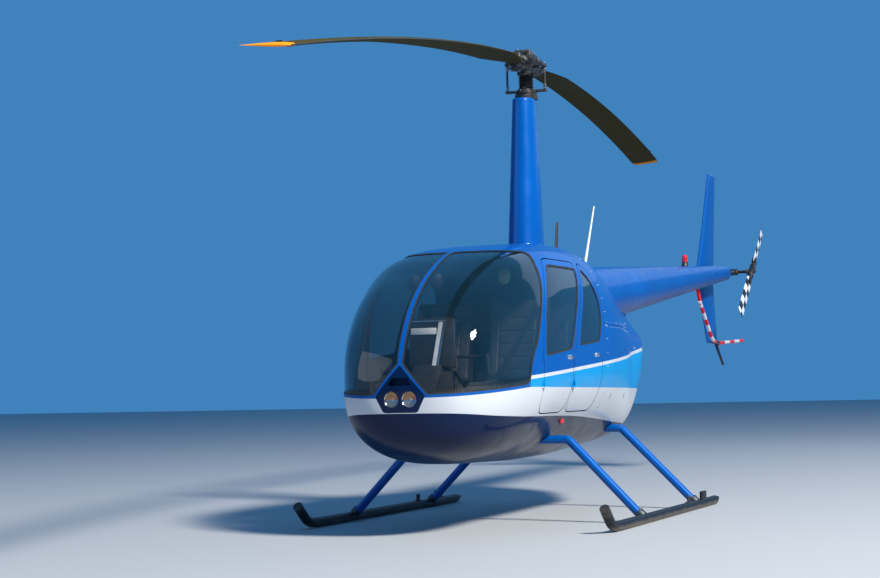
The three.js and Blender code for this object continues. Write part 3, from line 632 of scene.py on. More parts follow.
def skin_point(station, height, side=1, inset=0.0):
    """The point of the flank at a station and height, and the direction that the skin faces there."""
    def flank(x, z):
        ring = skin_ring(x, inset)
        half = ring[ring[:, 1] >= -1e-9]
        order = np.argsort(half[:, 2])
        return float(np.interp(z, half[order, 2], half[order, 1]))
    z = height * MM
    y = flank(station, z)
    along = (flank(station + 5, z) - flank(station - 5, z)) / 0.010
    up = (flank(station, z + 0.005) - flank(station, z - 0.005)) / 0.010
    normal = Vector((-along, 1.0, -up)).normalized()
    return Vector((station * MM + MAST, side * y, z)), Vector((normal.x, side * normal.y, normal.z))


def roof_point(station, y):
    """The point of the roof at a station and a distance from the middle, and the direction that it faces."""
    def roof(x, across_mm):
        ring = skin_ring(x)
        upper = ring[ring[:, 2] >= section_at(x)[2] * MM - 1e-9]
        order = np.argsort(upper[:, 1])
        return float(np.interp(across_mm * MM, upper[order, 1], upper[order, 2]))
    z = roof(station, y)
    along = (roof(station + 5, y) - roof(station - 5, y)) / 0.010
    side = (roof(station, y + 5) - roof(station, y - 5)) / 0.010
    return Vector((station * MM + MAST, y * MM, z)), Vector((-along, -side, 1.0)).normalized()


# %% Skins and shells
near_nose = NOSE_X - 445 * (1 - np.cos(np.linspace(0, math.pi / 2, 34)))
STATIONS = np.concatenate([near_nose, np.linspace(1900, COWL_END, 96)[1:]])


def skin(inset):
    """A closed body whose surface lies inset millimetres inside the fuselage."""
    return loft([skin_ring(x, inset) for x in STATIONS])


def shell(outer_inset, inner_inset):
    """The closed wall between two skins: the inner one is turned inside out and joined to the outer one."""
    return joined([slotted(skin(outer_inset)), flipped(slotted(skin(inner_inset), 1))])


def seated(piece, point, facing):
    """Puts a piece modelled at the origin on the skin, its length along the body and its top outwards."""
    forward = Vector((1, 0, 0))
    return moved(piece, point, Matrix((forward, facing.cross(forward), facing)).transposed())


CABIN_WALL, COWL_WALL, GLASS_DEPTH, GLASS = 22, 8, 5, 5
cabin_wall = shell(0, CABIN_WALL)
print("cabin wall", len(cabin_wall.data.polygons), "faces")

# %% [markdown]
# ## Doors and openings
# Each door is cut from the wall by two tools: its front edge is an outline pushed through the side, and its rear edge
# is turned about the hinge line, so that it clears the jamb as it swings. The opening in the cabin is cut by the same
# two tools, grown by the gap. Corners are rounded first, because pressed metal has no sharp ones.

# %% Outlines
DOOR_GAP = 7
FRONT_DOOR = dict(
    hinge=(1505, 628), bottom=740, top=1740, handle=(1030, 1097),
    front=[(1505, 740), (1505, 1120), (1497, 1200), (1465, 1380), (1368, 1567), (1259, 1690), (1190, 1740)],
    rear=[(985, 740), (985, 1100), (845, 1371), (610, 1740)],
    window=[(1470, 1098), (1462, 1200), (1434, 1375), (1338, 1555), (1235, 1680), (1180, 1702), (690, 1702),
            (668, 1690), (873, 1371), (991, 1148)],
)
REAR_DOOR = dict(
    hinge=(950, 643), bottom=740, top=1740, handle=(470, 1117),
    front=[(950, 740), (950, 1080), (811, 1371), (576, 1740)],
    rear=[(400, 740), (350, 1100), (275, 1300), (262, 1450), (290, 1600), (375, 1700), (470, 1740)],
    window=[(842, 1172), (768, 1371), (572, 1684), (545, 1702), (500, 1692), (420, 1640), (345, 1560), (312, 1470),
            (318, 1360), (385, 1215), (415, 1205)],
)
WINDSHIELD = [(2500, 862), (1695, 925), (1664, 1070), (1573, 1199), (1496, 1380), (1400, 1567), (1344, 1690),
              (1240, 1790), (2500, 1790)]
LAMP_HOUSING = [(-165, 868), (-112, 768), (112, 768), (165, 868), (0, 1056)]
POST = 14
LEFT, NOSE = (0.1, 1.0), (2.75, 3.25)      # how far the cutting tools reach: across the left side, and along the nose
DOOR_CORNER, TOOL_REACH, LEAST_SWING = 90, 1500, 150


def rounded(points, reach, steps=6):
    """Cuts each corner by a curve that starts and ends a reach away from it, or nearly half way along a short side."""
    points = [Vector((u, v)) for u, v in points]
    made = []
    for i, corner in enumerate(points):
        before, after = points[i - 1], points[(i + 1) % len(points)]
        start = corner + (before - corner) * min(reach / (before - corner).length, 0.48)
        end = corner + (after - corner) * min(reach / (after - corner).length, 0.48)
        for t in np.linspace(0, 1, steps):
            made.append(tuple(start * (1 - t) ** 2 + corner * 2 * t * (1 - t) + end * t * t))
    return made


def offset(points, distance):
    """An outline with every side moved outwards by a distance, or inwards where it is negative."""
    points = [Vector((u, v)) for u, v in points]
    way = math.copysign(1, sum(a.x * b.y - b.x * a.y for a, b in zip(points, points[1:] + points[:1])))
    made = []
    for i, corner in enumerate(points):
        before = (corner - points[i - 1]).normalized()
        after = (points[(i + 1) % len(points)] - corner).normalized()
        normals = Vector((before.y + after.y, -before.x - after.x))
        made.append(tuple(corner + normals * (way * distance) / (1 + before.dot(after))))
    return made


def metres(points, shift=MAST):
    """An outline in millimetres as metres, from the mast unless another shift is given."""
    return [(u * MM + shift, v * MM) for u, v in points]


# %% The cutting tools
def door_tool(door, grow=0):
    """The closed space that a left door fills, grown by a gap."""
    low, high = door["bottom"] - grow, door["top"] + grow
    front = [(x + grow, z) for x, z in door["front"]]
    front[0], front[-1] = (front[0][0], low), (front[-1][0], high)
    hinge_x, hinge_y = door["hinge"]
    outline = front + [(hinge_x - TOOL_REACH, high), (hinge_x - TOOL_REACH, low)]
    slab = prism(metres(rounded(outline, DOOR_CORNER, 7)), *LEFT)
    reach = [(hinge_x - x + grow, z) for x, z in door["rear"]]
    reach[0], reach[-1] = (reach[0][0], low), (reach[-1][0], high)
    curve = rounded([(0, low)] + reach + [(0, high)], DOOR_CORNER, 7)
    profile = metres([(0, low)] + [(r, z) for r, z in curve if r > LEAST_SWING] + [(0, high)], 0)
    swing = turned(profile, (hinge_x * MM + MAST, hinge_y * MM, 0), steps=240)
    return carved(slab, swing, "INTERSECT")


def window_tool(door, shrink=0):
    """The space of a left door's window."""
    return prism(metres(rounded(offset(door["window"], -shrink), 34, 6)), *LEFT)


def windshield_tool(shrink=0):
    """The space of the left windshield pane, beside the centre post and round the lamp housing."""
    pane = prism(metres(rounded(offset(WINDSHIELD, -shrink), 60, 8)), (POST + shrink) * MM, 1.0)
    lamps = prism(metres(rounded(offset(LAMP_HOUSING, POST + shrink), 22), 0), *NOSE, "yz")
    return carved(pane, lamps)


print("outlines of two doors, their windows and a windshield pane")

# %% [markdown]
# ## Cabin shell
# Cabin and belly are one piece here: the seam between them lies under the paint. It is the whole wall ahead of the
# firewall, less four door openings and two windshield openings. The mirror image of each left tool cuts the right side.

# %% Cutting the cabin
FIREWALL_X = 200


def both_sides(piece, tool):
    """Cuts a piece by a left tool and by its mirror image."""
    other = mirrored(tool)
    return carved(carved(piece, tool), other)


# The lining is dark grey vinyl, taken darker still as painted shade for the inside of the cabin.
lining_with_painted_shade = mottled("lining_vinyl_painted_shade", (6, 4), (0.018, 0.020, 0.025), (0.034, 0.037, 0.044),
                       relief=((420, 2), 0.25, 0.0006), roughness=0.8)
cabin = carved(copied(cabin_wall), block((FIREWALL_X * MM + MAST, -1, 0), (4, 1, 3)), "INTERSECT")
for door in (FRONT_DOOR, REAR_DOOR):
    both_sides(cabin, door_tool(door, DOOR_GAP))
both_sides(cabin, windshield_tool())
carved(cabin, prism(metres(rounded(LAMP_HOUSING, 16), 0), *NOSE, "yz"))
finished(cabin, "cabin_shell", [body_paint, lining_with_painted_shade],
         stands_for=("cabin_frame", "lower_fuselage"))

# %% [markdown]
# ## Doors
# The left doors are modelled once and mirrored. A door keeps its curved skin and its lining, loses its window, and gets
# round notches where the hinge knuckles sit. Straps, knuckles and the chrome latch are small pieces joined to it.

# %% Doors with hinges and latches
polished = finish_of("polished_chrome", (0.78, 0.79, 0.80), metallic=1.0)
rough(polished, noise(polished, 60.0, 4.0), 0.08, 0.2)
HINGE_HEIGHTS = (925, 1085)
KNUCKLE_R = 0.009


def door_leaf(door):
    """A left door without its glass."""
    hinge_x, hinge_y = (door["hinge"][0] * MM + MAST, door["hinge"][1] * MM)
    leaf = carved(copied(cabin_wall), door_tool(door), "INTERSECT")
    carved(leaf, window_tool(door))
    hardware = []
    for height in HINGE_HEIGHTS:
        z = height * MM
        carved(leaf, bar((hinge_x, hinge_y, z - 0.030), (hinge_x, hinge_y, z + 0.030), 0.014, sides=32))
        hardware.append(bar((hinge_x, hinge_y, z - 0.012), (hinge_x, hinge_y, z + 0.012), KNUCKLE_R, bevel=0.0012))
        hardware.append(block((hinge_x - 0.048, hinge_y - 0.012, z - 0.012), (hinge_x, hinge_y - 0.002, z + 0.012),
                              0.002))
    return joined([leaf, *(slotted(piece) for piece in hardware)])


def latch(door):
    """A flush chrome latch: a dished plate with a lever across it."""
    plate = block((-0.052, -0.016, -0.004), (0.052, 0.016, 0.0018), 0.0015)
    lever = block((-0.044, -0.009, 0.0), (0.036, 0.009, 0.009), 0.004, 3)
    pin = bar((0.030, 0, 0.0), (0.030, 0, 0.012), 0.007, bevel=0.001)
    return seated(joined([plate, lever, pin]), *skin_point(*door["handle"]))


for door, row in ((FRONT_DOOR, "front"), (REAR_DOOR, "rear")):
    paired(door_leaf(door), row + "_door_{}", [body_paint, lining_with_painted_shade], row + "_{}_door",
           f"door_{row}_{{}}")
    paired(latch(door), row + "_latch_{}", polished, row + "_{}_door")

# %% [markdown]
# ## Hinge leaves and rubber seals
# The frame's half of each hinge stands just ahead of the door. Behind the gap runs a rubber seal on a flange of the
# frame, which is why a closed door shows a thin black line and no daylight.

# %% Frame hinges and door seals
rubber = mottled("black_rubber", (25, 4), (0.009, 0.009, 0.010), (0.022, 0.022, 0.023),
                 relief=((900, 2), 0.2, 0.0003), roughness=0.62)

frame_hinges = []
for door, tab in ((FRONT_DOOR, 0.030), (REAR_DOOR, 0.023)):
    x, y = (door["hinge"][0] * MM + MAST, door["hinge"][1] * MM)
    for height in HINGE_HEIGHTS:
        for low, high in ((-0.028, -0.0123), (0.0123, 0.028)):
            z0, z1 = height * MM + low, height * MM + high
            frame_hinges.append(bar((x, y, z0), (x, y, z1), KNUCKLE_R, bevel=0.0012))
            frame_hinges.append(block((x + 0.004, y - 0.020, z0), (x + tab, y - 0.003, z1), 0.0015))
left_hinges = joined(frame_hinges)
finished(joined([left_hinges, mirrored(left_hinges)]), "door_hinge_leaves", body_paint)

jamb_wall = shell(23.5, 27.5)
door_seals = []
for door in (FRONT_DOOR, REAR_DOOR):
    seal = carved(copied(jamb_wall), door_tool(door, 24), "INTERSECT")
    carved(seal, door_tool(door, -12))
    door_seals += [seal, mirrored(seal)]
finished(joined(door_seals), "door_jamb_seals", rubber)

# %% [markdown]
# ## Glazing
# The panes are tinted acrylic. Two things make it believable: the tint darkens what is behind it, and the surface
# mirrors the sky. Alpha lets the cabin show through, and a strong coat gives the mirror. Each pane is five millimetres
# of the same skin, set five millimetres deep, with a rubber strip that covers its edge.

# %% Panes and their strips
tint = finish_of("tinted_acrylic", (0.004, 0.022, 0.040), ior=1.8, coat_weight=1.0, coat_roughness=0.01, coat_ior=1.6)
rough(tint, noise(tint, 9.0, 5.0), 0.01, 0.05)
mapped(tint, node(tint, "ShaderNodeLayerWeight", Blend=0.5).outputs["Facing"], (0.0, 0.9, 0.12, 0.72), "Alpha")

glass_wall = shell(GLASS_DEPTH, GLASS_DEPTH + GLASS)
strip_wall = shell(1.5, 4.9)

for row, tool, width in (("front", lambda shrink: window_tool(FRONT_DOOR, shrink), 11),
                         ("rear", lambda shrink: window_tool(REAR_DOOR, shrink), 11),
                         ("windshield", windshield_tool, 9)):
    pane = carved(copied(glass_wall), tool(0.3), "INTERSECT")
    strip = carved(carved(copied(strip_wall), tool(0.3), "INTERSECT"), tool(width))
    body, stands_for = row + "_{}_door", f"door_glass_{row}_{{}}"
    if row == "windshield":
        body, stands_for = "airframe", "windshield_{}"
    paired(pane, row + "_pane_{}", tint, body, stands_for)
    paired(strip, row + "_strip_{}", rubber, body)

# %% [markdown]
# ## Lamp housing
# A small painted hood closes the nose between the two windshield panes. It carries two landing lamps behind round holes
# and a cabin air inlet above them. A reflector is a bowl turned about its own axis; the lens is a shallow dish with
# fine flutes.

# %% The hood, its lamps and the air inlet
LAMP_Y, LAMP_Z, LAMP_R = 0.058, 0.848, 0.050
hood = carved(shell(0, 60), prism(metres(rounded(offset(LAMP_HOUSING, -1.5), 15), 0), 2.95, 3.25, "yz"), "INTERSECT")
inlet = rounded([(-78, 932), (-52, 978), (52, 978), (78, 932)], 10)
carved(hood, prism(metres(inlet, 0), 3.050, 3.25, "yz"))
for side in (1, -1):
    carved(hood, bar((2.90, side * LAMP_Y, LAMP_Z), (3.25, side * LAMP_Y, LAMP_Z), LAMP_R, sides=64))
finished(hood, "lamp_hood", [navy_paint, lining_with_painted_shade], stands_for=("lamp_housing",))

reflector = finish_of("lamp_reflector_painted_reflection", metallic=0.55, roughness=0.25)
# The bowl's base colour is amber in its upper half and pale blue in its lower half: painted reflection of ground and
# sky in the metal.
height = on_object(reflector, "ShaderNodeSeparateXYZ").outputs["Z"]
mixed(reflector, arithmetic(reflector, "MULTIPLY_ADD", height, 20.0, -16.46), (0.28, 0.60, 0.85), (1.0, 0.40, 0.03),
      low=0.38, high=0.52)
lens = finish_of("lamp_lens", (0.9, 0.93, 0.96), roughness=0.03, alpha=0.07, coat_weight=1.0, coat_roughness=0.01)
bumped(lens, noise(lens, 260.0, 1.0, (0.05, 1.0, 0.05)), 0.35, 0.001)
bowl = [(0.0, 0.0), (0.0485, 0.0), (0.0490, 0.052), (0.0465, 0.052)] + [
    (r, 0.006 + 17.0 * r * r) for r in np.linspace(0.045, 0.0, 9)]
dish = [(r, 0.0045 - 1.4 * r * r) for r in np.linspace(0.0, 0.0465, 8)] + [(0.0465, 0.0)]
rim = [(0.0462, 0.0), (0.0498, 0.0), (0.0498, 0.006), (0.0480, 0.008), (0.0462, 0.006)]
bowls, lenses, bulbs, rims = [], [], [], []
for side in (1, -1):
    for made, profile, x in ((bowls, bowl, 3.012), (lenses, dish, 3.064), (rims, rim, 3.0655)):
        made.append(turned(profile, (x, side * LAMP_Y, LAMP_Z), "X"))
    bulbs.append(bar((3.02, side * LAMP_Y, LAMP_Z), (3.052, side * LAMP_Y, LAMP_Z), 0.009, 0.006, bevel=0.002))
finished(joined(bowls), "lamp_bowls", reflector, stands_for=("nose_lamps",))
finished(joined(lenses), "lamp_lenses", lens)
finished(joined(bulbs + rims), "lamp_rims", polished)

# %% [markdown]
# ## Cowls
# Aft of the firewall the same skin is thin sheet: a cowl on each side, one over the top and one round the tail. The
# panels stop three millimetres short of each other, above a strip that they are screwed to.

# %% Engine and tail cowls
cowl_wall = shell(0, COWL_WALL)
EXHAUST_TUBE = ((-0.200, 0.150, 0.725), (-0.410, 0.150, 0.427))
primer = mottled("zinc_primer", (14, 5), (0.12, 0.16, 0.09), (0.20, 0.25, 0.14), roughness=0.6)


BOOM_A, BOOM_B = -940, -5750
def boom_radius(x):
    return float(np.interp(x, (BOOM_B, BOOM_A), (78, 241.4)))


def boom_axis(x):
    return float(np.interp(x, (BOOM_B, BOOM_A), (2022, 1579.2)))


def boom_ring(x, grow=0.0, count=96):
    """A ring of the tail boom, grown outwards."""
    turn = np.arange(count) / count * 2 * math.pi
    radius = boom_radius(x) + grow
    return ring_of(x + MAST / MM, radius * np.cos(turn), boom_axis(x) + radius * np.sin(turn)) * MM


def boom_body(grow=0.0, ahead=10):
    """The plain cone of the boom's front end."""
    return loft([boom_ring(x, grow) for x in np.linspace(BOOM_A + ahead, -2400, 12)])


def cut_out(low, high, wall=cowl_wall):
    """The part of a wall inside a box."""
    return carved(copied(wall), block(low, high), "INTERSECT")


def tube_hole(panel, x, z):
    """The hole for a cross tube."""
    return carved(panel, bar((x, -1, z), (x, 1, z), 0.031, sides=48))


CROSS_TUBES = (("front", 1.590, 0.530, 0.552), ("rear", 0.250, 0.480, 0.588))      # row, x, half length, z
side_cowl = tube_hole(cut_out((-0.3985, 0.0015, 0.2), (0.9485, 1, 1.3285)), *CROSS_TUBES[1][1::2])
right_cowl = mirrored(side_cowl)
carved(side_cowl, bar(*EXHAUST_TUBE, 0.044, sides=48))
tongue = carved(block((-0.3985, -1, 1.3315), (0.9485, 1, 2.2)), block((-1.360, -1, 1.7015), (0.5, 1, 2.3)), "UNION")
top_cowl = carved(carved(copied(cowl_wall), tongue, "INTERSECT"), boom_body(1.2))
rear_cowl = carved(cut_out((-1.360, -1, 0.2), (-0.4015, 1, 1.6985)), boom_body(1.2))
for panel, name, stands_for in (
        (side_cowl, "side_cowl_left", "engine_cowl_left"),
        (right_cowl, "side_cowl_right", "engine_cowl_right"),
        (top_cowl, "top_cowl", "upper_cowl"),
        (rear_cowl, "rear_cowl", "tail_cowl")):
    finished(panel, name, [body_paint, primer], stands_for=(stands_for,))

land_wall = shell(COWL_WALL + 0.6, COWL_WALL + 2.6)
lands = [cut_out(low, high, land_wall) for low, high in (
    ((0.905, -1, 0.2), (0.945, 1, 2.2)), ((-0.425, -1, 0.2), (-0.375, 1, 2.2)),
    ((-0.374, 0.05, 1.305), (0.904, 1, 1.355)), ((-0.374, -1, 1.305), (0.904, -0.05, 1.355)),
    ((-0.374, -0.025, 0.2), (0.904, 0.025, 1.0)))]
finished(joined(lands), "cowl_lands", primer)
tube_hole(cabin, *CROSS_TUBES[0][1::2])

# %% Screws along the cowl seams
screw_metal = finish_of("screw_metal", (0.30, 0.31, 0.33), metallic=1.0)
rough(screw_metal, noise(screw_metal, 300.0, 2.0), 0.3, 0.5)


def screw(radius=0.0045, rise=0.0012):
    """A low domed head with twelve sides."""
    bpy.ops.mesh.primitive_cone_add(vertices=12, radius1=radius, radius2=radius * 0.7, depth=rise + 0.001,
                                    location=(0, 0, (rise - 0.001) / 2))
    return placed(bpy.context.object)


seam_places = []
for station in (185, 218, -1134, -1166):
    top, bottom = section_at(station)[3], section_at(station)[4]
    for height in np.arange(bottom + 60, top - 40, 95):
        seam_places += [skin_point(station, height, side) for side in (1, -1)]
for station in np.arange(-1090, 190, 106):
    seam_places += [skin_point(station, height, side) for height in (1314, 1347) for side in (1, -1)]
finished(scattered(screw(), seam_places, "screws"), "cowl_screws", screw_metal)

# %% [markdown]
# ## Mast fairing and tail boom
# The fairing is a symmetric aerofoil that tapers towards the rotor head, with a soft collar where it meets the roof.
# The boom is a cone of rolled sheet in six bays. Where two bays lap, the skin steps in by a millimetre, with a row of
# rivets on each side of the joint.

# %% The mast fairing


def aerofoil(chord, thickness, count=96):
    """A symmetric aerofoil, as two rows: u along its chord, with the nose at the high end, and v across it."""
    turn = np.arange(count) / count * 2 * math.pi
    along = 0.5 * (1 + np.cos(turn))
    t = 1 - along
    half = thickness * (1.484 * np.sqrt(t) - 0.63 * t - 1.758 * t**2 + 1.4215 * t**3 - 0.518 * t**4)
    return (along - 0.5) * chord, np.where(np.sin(turn) < 0, -1, 1) * np.abs(half)


FAIRING = np.array([(1800, 530, 240), (2400, 420, 200), (2990, 335, 155)], float)


def fairing_ring(z, grow=0.0):
    """The fairing's outline at a height, grown outwards."""
    chord, thickness = looked_up(FAIRING, z)
    u, v = aerofoil(chord + 2 * grow, thickness + 2 * grow)
    return ring_of(u - 10 + MAST / MM, v, z) * MM


def on_roof(ring, lift):
    """The ring laid on the roof, lifted by some millimetres."""
    for point in ring:
        point[2] = roof_point(point[0] / MM - MAST / MM, point[1] / MM)[0].z + lift * MM
    return ring


levels = [(z, 0) for z in np.linspace(1890, 2940, 30)] + [(2958, 0), (2959, -1.2), (2961, -1.2), (2962, 0), (2980, 0),
                                                         (2986, -1.5), (2989, -4), (2990, -7)]
fairing = loft([fairing_ring(z, grow) for z, grow in levels])
collar = loft([on_roof(fairing_ring(1900, 30 - 30 * math.sin(t)), 1 + 26 * (1 - math.cos(t)))
               for t in np.linspace(0, math.pi / 2, 9)])
finished(joined([fairing, collar]), "mast_cover", royal_paint, stands_for=("mast_fairing",),
         angle=40)

# %% The tail boom
SEAMS = (-2180, -2880, -3590, -4300, -5020, -5738)
stops = [(x, 0) for x in np.linspace(BOOM_A, -2150, 14)]
for seam, after in zip(SEAMS, SEAMS[1:] + (None,)):
    stops += [(seam + 2.5, 0), (seam + 1.5, -1.1), (seam - 1.0, -1.1), (seam - 1.6, 0)]
    if after:
        stops += [(x, 0) for x in np.linspace(seam, after, 8)[1:-1]]
stops += [(BOOM_B + 1.5, 0), (BOOM_B, -2)]
boom = loft([boom_ring(x, grow) for x, grow in stops])
finished(boom, "boom_tube", royal_paint, stands_for=("tail_boom",))


def on_boom(x, turn):
    """A point of the boom's skin and the direction that it faces."""
    radius = boom_radius(x)
    outward = Vector((0, math.cos(turn), math.sin(turn)))
    return Vector((x * MM + MAST, radius * MM * outward.y, (boom_axis(x) + radius * outward.z) * MM)), outward


rivets = [on_boom(seam + shift, k / 30 * 2 * math.pi) for seam in SEAMS[1:-1] for shift in (11, -11) for k in range(30)]
rivets += [on_boom(seam, k / 24 * 2 * math.pi) for seam in (-2124, -5726) for k in range(24)]
finished(scattered(screw(0.0032, 0.0009), rivets, "rivets"), "boom_rivets", royal_paint)

# %% [markdown]
# ## Fins and stabiliser
# Each surface is a lofted aerofoil with a rounded tip. The tip is made by shrinking the last few sections along a
# quarter circle.

# %% Fins and stabiliser
FIN_SIDE, STABILISER_Z = 128, 2011


def surface(stations, place, tip=22):
    """A loft through sections of (span, middle, chord, thickness), with its last end rounded off."""
    table = np.array(stations, float)
    start, end = table[0, 0], table[-1, 0]
    way = math.copysign(1, end - start)
    table = table[np.argsort(table[:, 0])]
    stops = [(span, 1.0) for span in np.linspace(start, end - way * tip, 14)]
    stops += [(end - way * tip * (1 - math.sin(t * math.pi / 2)), math.cos(t * math.pi / 2))
              for t in np.linspace(0.15, 1, 8)]
    rings = []
    for span, close in stops:
        middle, chord, thickness = looked_up(table, span)
        u, v = aerofoil(chord - 2 * tip * (1 - close), thickness * max(close, 0.04), 64)
        rings.append(place(u + middle + MAST / MM, v, span) * MM)
    return loft(rings)


def upright(u, v, z):
    """A fin's section, which lies level at a height."""
    return ring_of(u, v - FIN_SIDE, z)


def level_surface(u, v, y):
    """A stabiliser's section, which stands upright at a distance from the middle."""
    return ring_of(u, y, v + STABILISER_Z)


level_fin = surface([(-120, -5420, 382, 38.6), (-158, -5420, 380, 38.5), (-1060, -5420, 300, 26)], level_surface)
saddle = block((-4.850, -0.160, 1.991), (-4.490, -0.094, 2.031), 0.006)
for fin, name, stands_for in (
        (surface([(2031.3, -5520, 660, 62), (2500, -5690, 460, 50), (3060, -5875, 295, 32)], upright),
         "upper_fin", "fin_upper"),
        (surface([(1990.7, -5490, 640, 60), (1620, -5605, 520, 50), (1300, -5720, 400, 40)], upright),
         "lower_fin", "fin_lower"),
        (joined([level_fin, saddle]), "tailplane", "stabiliser")):
    finished(fin, name, royal_paint, stands_for=(stands_for,))

# %% [markdown]
# ## Tail guard
# A bent tube under the tail keeps people and the ground away from the tail rotor. Its red and white bands are painted
# rings, so the tube gets an extra ring of points at each band's edge and its faces take one paint or the other.

# %% The guard tube
red_enamel = finish_of("red_enamel", (0.62, 0.010, 0.012), **LACQUER)
white_enamel = finish_of("white_enamel", WHITE, **LACQUER)
dark_enamel = finish_of("dark_enamel", (0.010, 0.018, 0.045), **LACQUER)
for paint in (red_enamel, white_enamel, dark_enamel):
    flaked(paint)
    rough(paint, noise(paint, 18.0, 5.0), 0.28, 0.46)


def rounded_line(points, share=0.35, steps=9):
    """A line in space whose corners are replaced by short curves."""
    points = [Vector(p) for p in points]
    line = [points[0]]
    for before, corner, after in zip(points, points[1:], points[2:]):
        reach = min((corner - before).length, (after - corner).length) * share
        start = corner + (before - corner).normalized() * reach
        end = corner + (after - corner).normalized() * reach
        line += [start * (1 - t) ** 2 + corner * 2 * t * (1 - t) + end * t * t for t in np.linspace(0, 1, steps)]
    return line + [points[-1]]


def tube(line, radius, sides=20, cuts=()):
    """A closed tube along a line of points, with extra rings at given distances along it."""
    line = [Vector(p) for p in line]
    far = np.concatenate([[0], np.cumsum([(b - a).length for a, b in zip(line, line[1:])])])
    stops = sorted(set(np.round(np.concatenate([far, [c for c in cuts if 0 < c < far[-1]]]), 6)))
    radii = np.atleast_1d(radius)

    def at(distance):
        return np.array([np.interp(distance, far, [p[k] for p in line]) for k in range(3)])

    rings, side = [], Vector((0, 1, 0))
    for stop in stops:
        along = Vector(at(min(stop + 1e-3, far[-1])) - at(max(stop - 1e-3, 0))).normalized()
        side = side - along * side.dot(along)
        side = (side if side.length > 1e-3 else along.orthogonal()).normalized()
        other = along.cross(side)
        here = float(np.interp(stop / far[-1], np.linspace(0, 1, len(radii)), radii))
        rings.append([Vector(at(stop)) + (side * math.cos(a) + other * math.sin(a)) * here
                      for a in np.linspace(0, 2 * math.pi, sides, endpoint=False)])
    return loft(rings)


guard_line = rounded_line([(-4.010, 0, 1.700), (-4.480, 0, 1.318), (-4.750, 0, 1.300), (-5.75966, 0, 1.340)])
guard_length = sum((b - a).length for a, b in zip(guard_line, guard_line[1:]))
SHORT_BAND, SHORT_PITCH, SHORT_END = 0.085, 0.18, 0.71
LONG_BAND, LONG_START = 0.21, 1.05
bands = [SHORT_BAND + SHORT_PITCH * k + wide for k in range(4) for wide in (0, SHORT_BAND)]
bands += [guard_length - LONG_BAND * k for k in range(1, 6)]
RED, WHITE_BAND, DARK = range(3)
guard = slotted(tube(guard_line, 0.018, cuts=bands))
for face in guard.data.polygons:
    nearest = min(range(len(guard_line) - 1),
                  key=lambda i: (guard_line[i] + guard_line[i + 1] - 2 * face.center).length)
    base = sum((guard_line[i + 1] - guard_line[i]).length for i in range(nearest))
    along = guard_line[nearest + 1] - guard_line[nearest]
    reach = base + (face.center - guard_line[nearest]).dot(along.normalized())
    left_over = guard_length - reach
    if left_over < LONG_START:
        face.material_index = RED if left_over % (2 * LONG_BAND) < LONG_BAND else WHITE_BAND
    elif reach < SHORT_END:
        face.material_index = RED if (reach - SHORT_BAND) % SHORT_PITCH < SHORT_BAND else WHITE_BAND
    else:
        face.material_index = DARK
strut = bar((-3.950, 0, 1.822), (-4.040, 0, 1.672), 0.018)
stinger = bar((-4.810, -0.060, 1.316), (-5.115, -0.060, 1.085), 0.015, 0.013, bevel=0.003)
to_fin = bar((-4.890, 0, 1.312), (-4.890, -0.114, 1.312), 0.012)
brace = bar((-4.860, 0, 1.306), (-4.860, -0.064, 1.280), 0.012)
finished(joined([guard, grouped([strut], [], [stinger, to_fin, brace])]), "guard_tube",
         [red_enamel, white_enamel, dark_enamel], stands_for=("tail_guard",))

# %% [markdown]
# ## Landing gear
# Two cross tubes carry four legs that spread to the skids. A leg is one tube that bends at the belly; a forged saddle
# clamps it to the skid. The skids are black with worn, brownish metal where they touch the ground.

# %% Legs and cross tubes
gear_metal = finish_of("forged_saddle", (0.05, 0.055, 0.065), metallic=0.6, roughness=0.5)
bumped(gear_metal, noise(gear_metal, 220.0, 3.0), 0.25, 0.0006)
SKID_Y, SKID_R, LEG_R = 1.052, 0.032, 0.029
for row, x, half, z in CROSS_TUBES:
    finished(bar((x, -half, z), (x, half, z), LEG_R, sides=48), f"{row}_cross_bar", royal_paint,
             stands_for=(f"cross_tube_{row}",))
    line = rounded_line([(x, half + 0.0005, z), (x, half + 0.022, z - 0.006), (x, SKID_Y, SKID_R)], 0.5)
    strut = tube(line, LEG_R, 40)
    carved(strut, bar((x - 0.2, SKID_Y, SKID_R), (x + 0.2, SKID_Y, SKID_R), SKID_R + 0.0005, sides=48))
    carved(strut, block((x - 0.2, 0.9, -0.2), (x + 0.2, 1.3, SKID_R + 0.001)))
    saddle = bar((x, SKID_Y - 0.040, 0.080), (x, SKID_Y - 0.006, 0.046), 0.033, 0.035, 40, 0.004)
    cheeks = block((x - 0.062, SKID_Y - 0.030, 0.034), (x + 0.062, SKID_Y + 0.026, 0.050), 0.006)
    bolts = [bar((x + dx, SKID_Y - 0.006, 0.048), (x + dx, SKID_Y - 0.006, 0.064), 0.008, sides=6, bevel=0.001)
             for dx in (-0.050, 0.050)]
    paired(strut, row + "_strut_{}", royal_paint, stands_for=f"leg_{row}_{{}}")
    paired(joined([saddle, bevelled(cheeks, 0.006), *bolts]), row + "_saddle_{}", gear_metal)

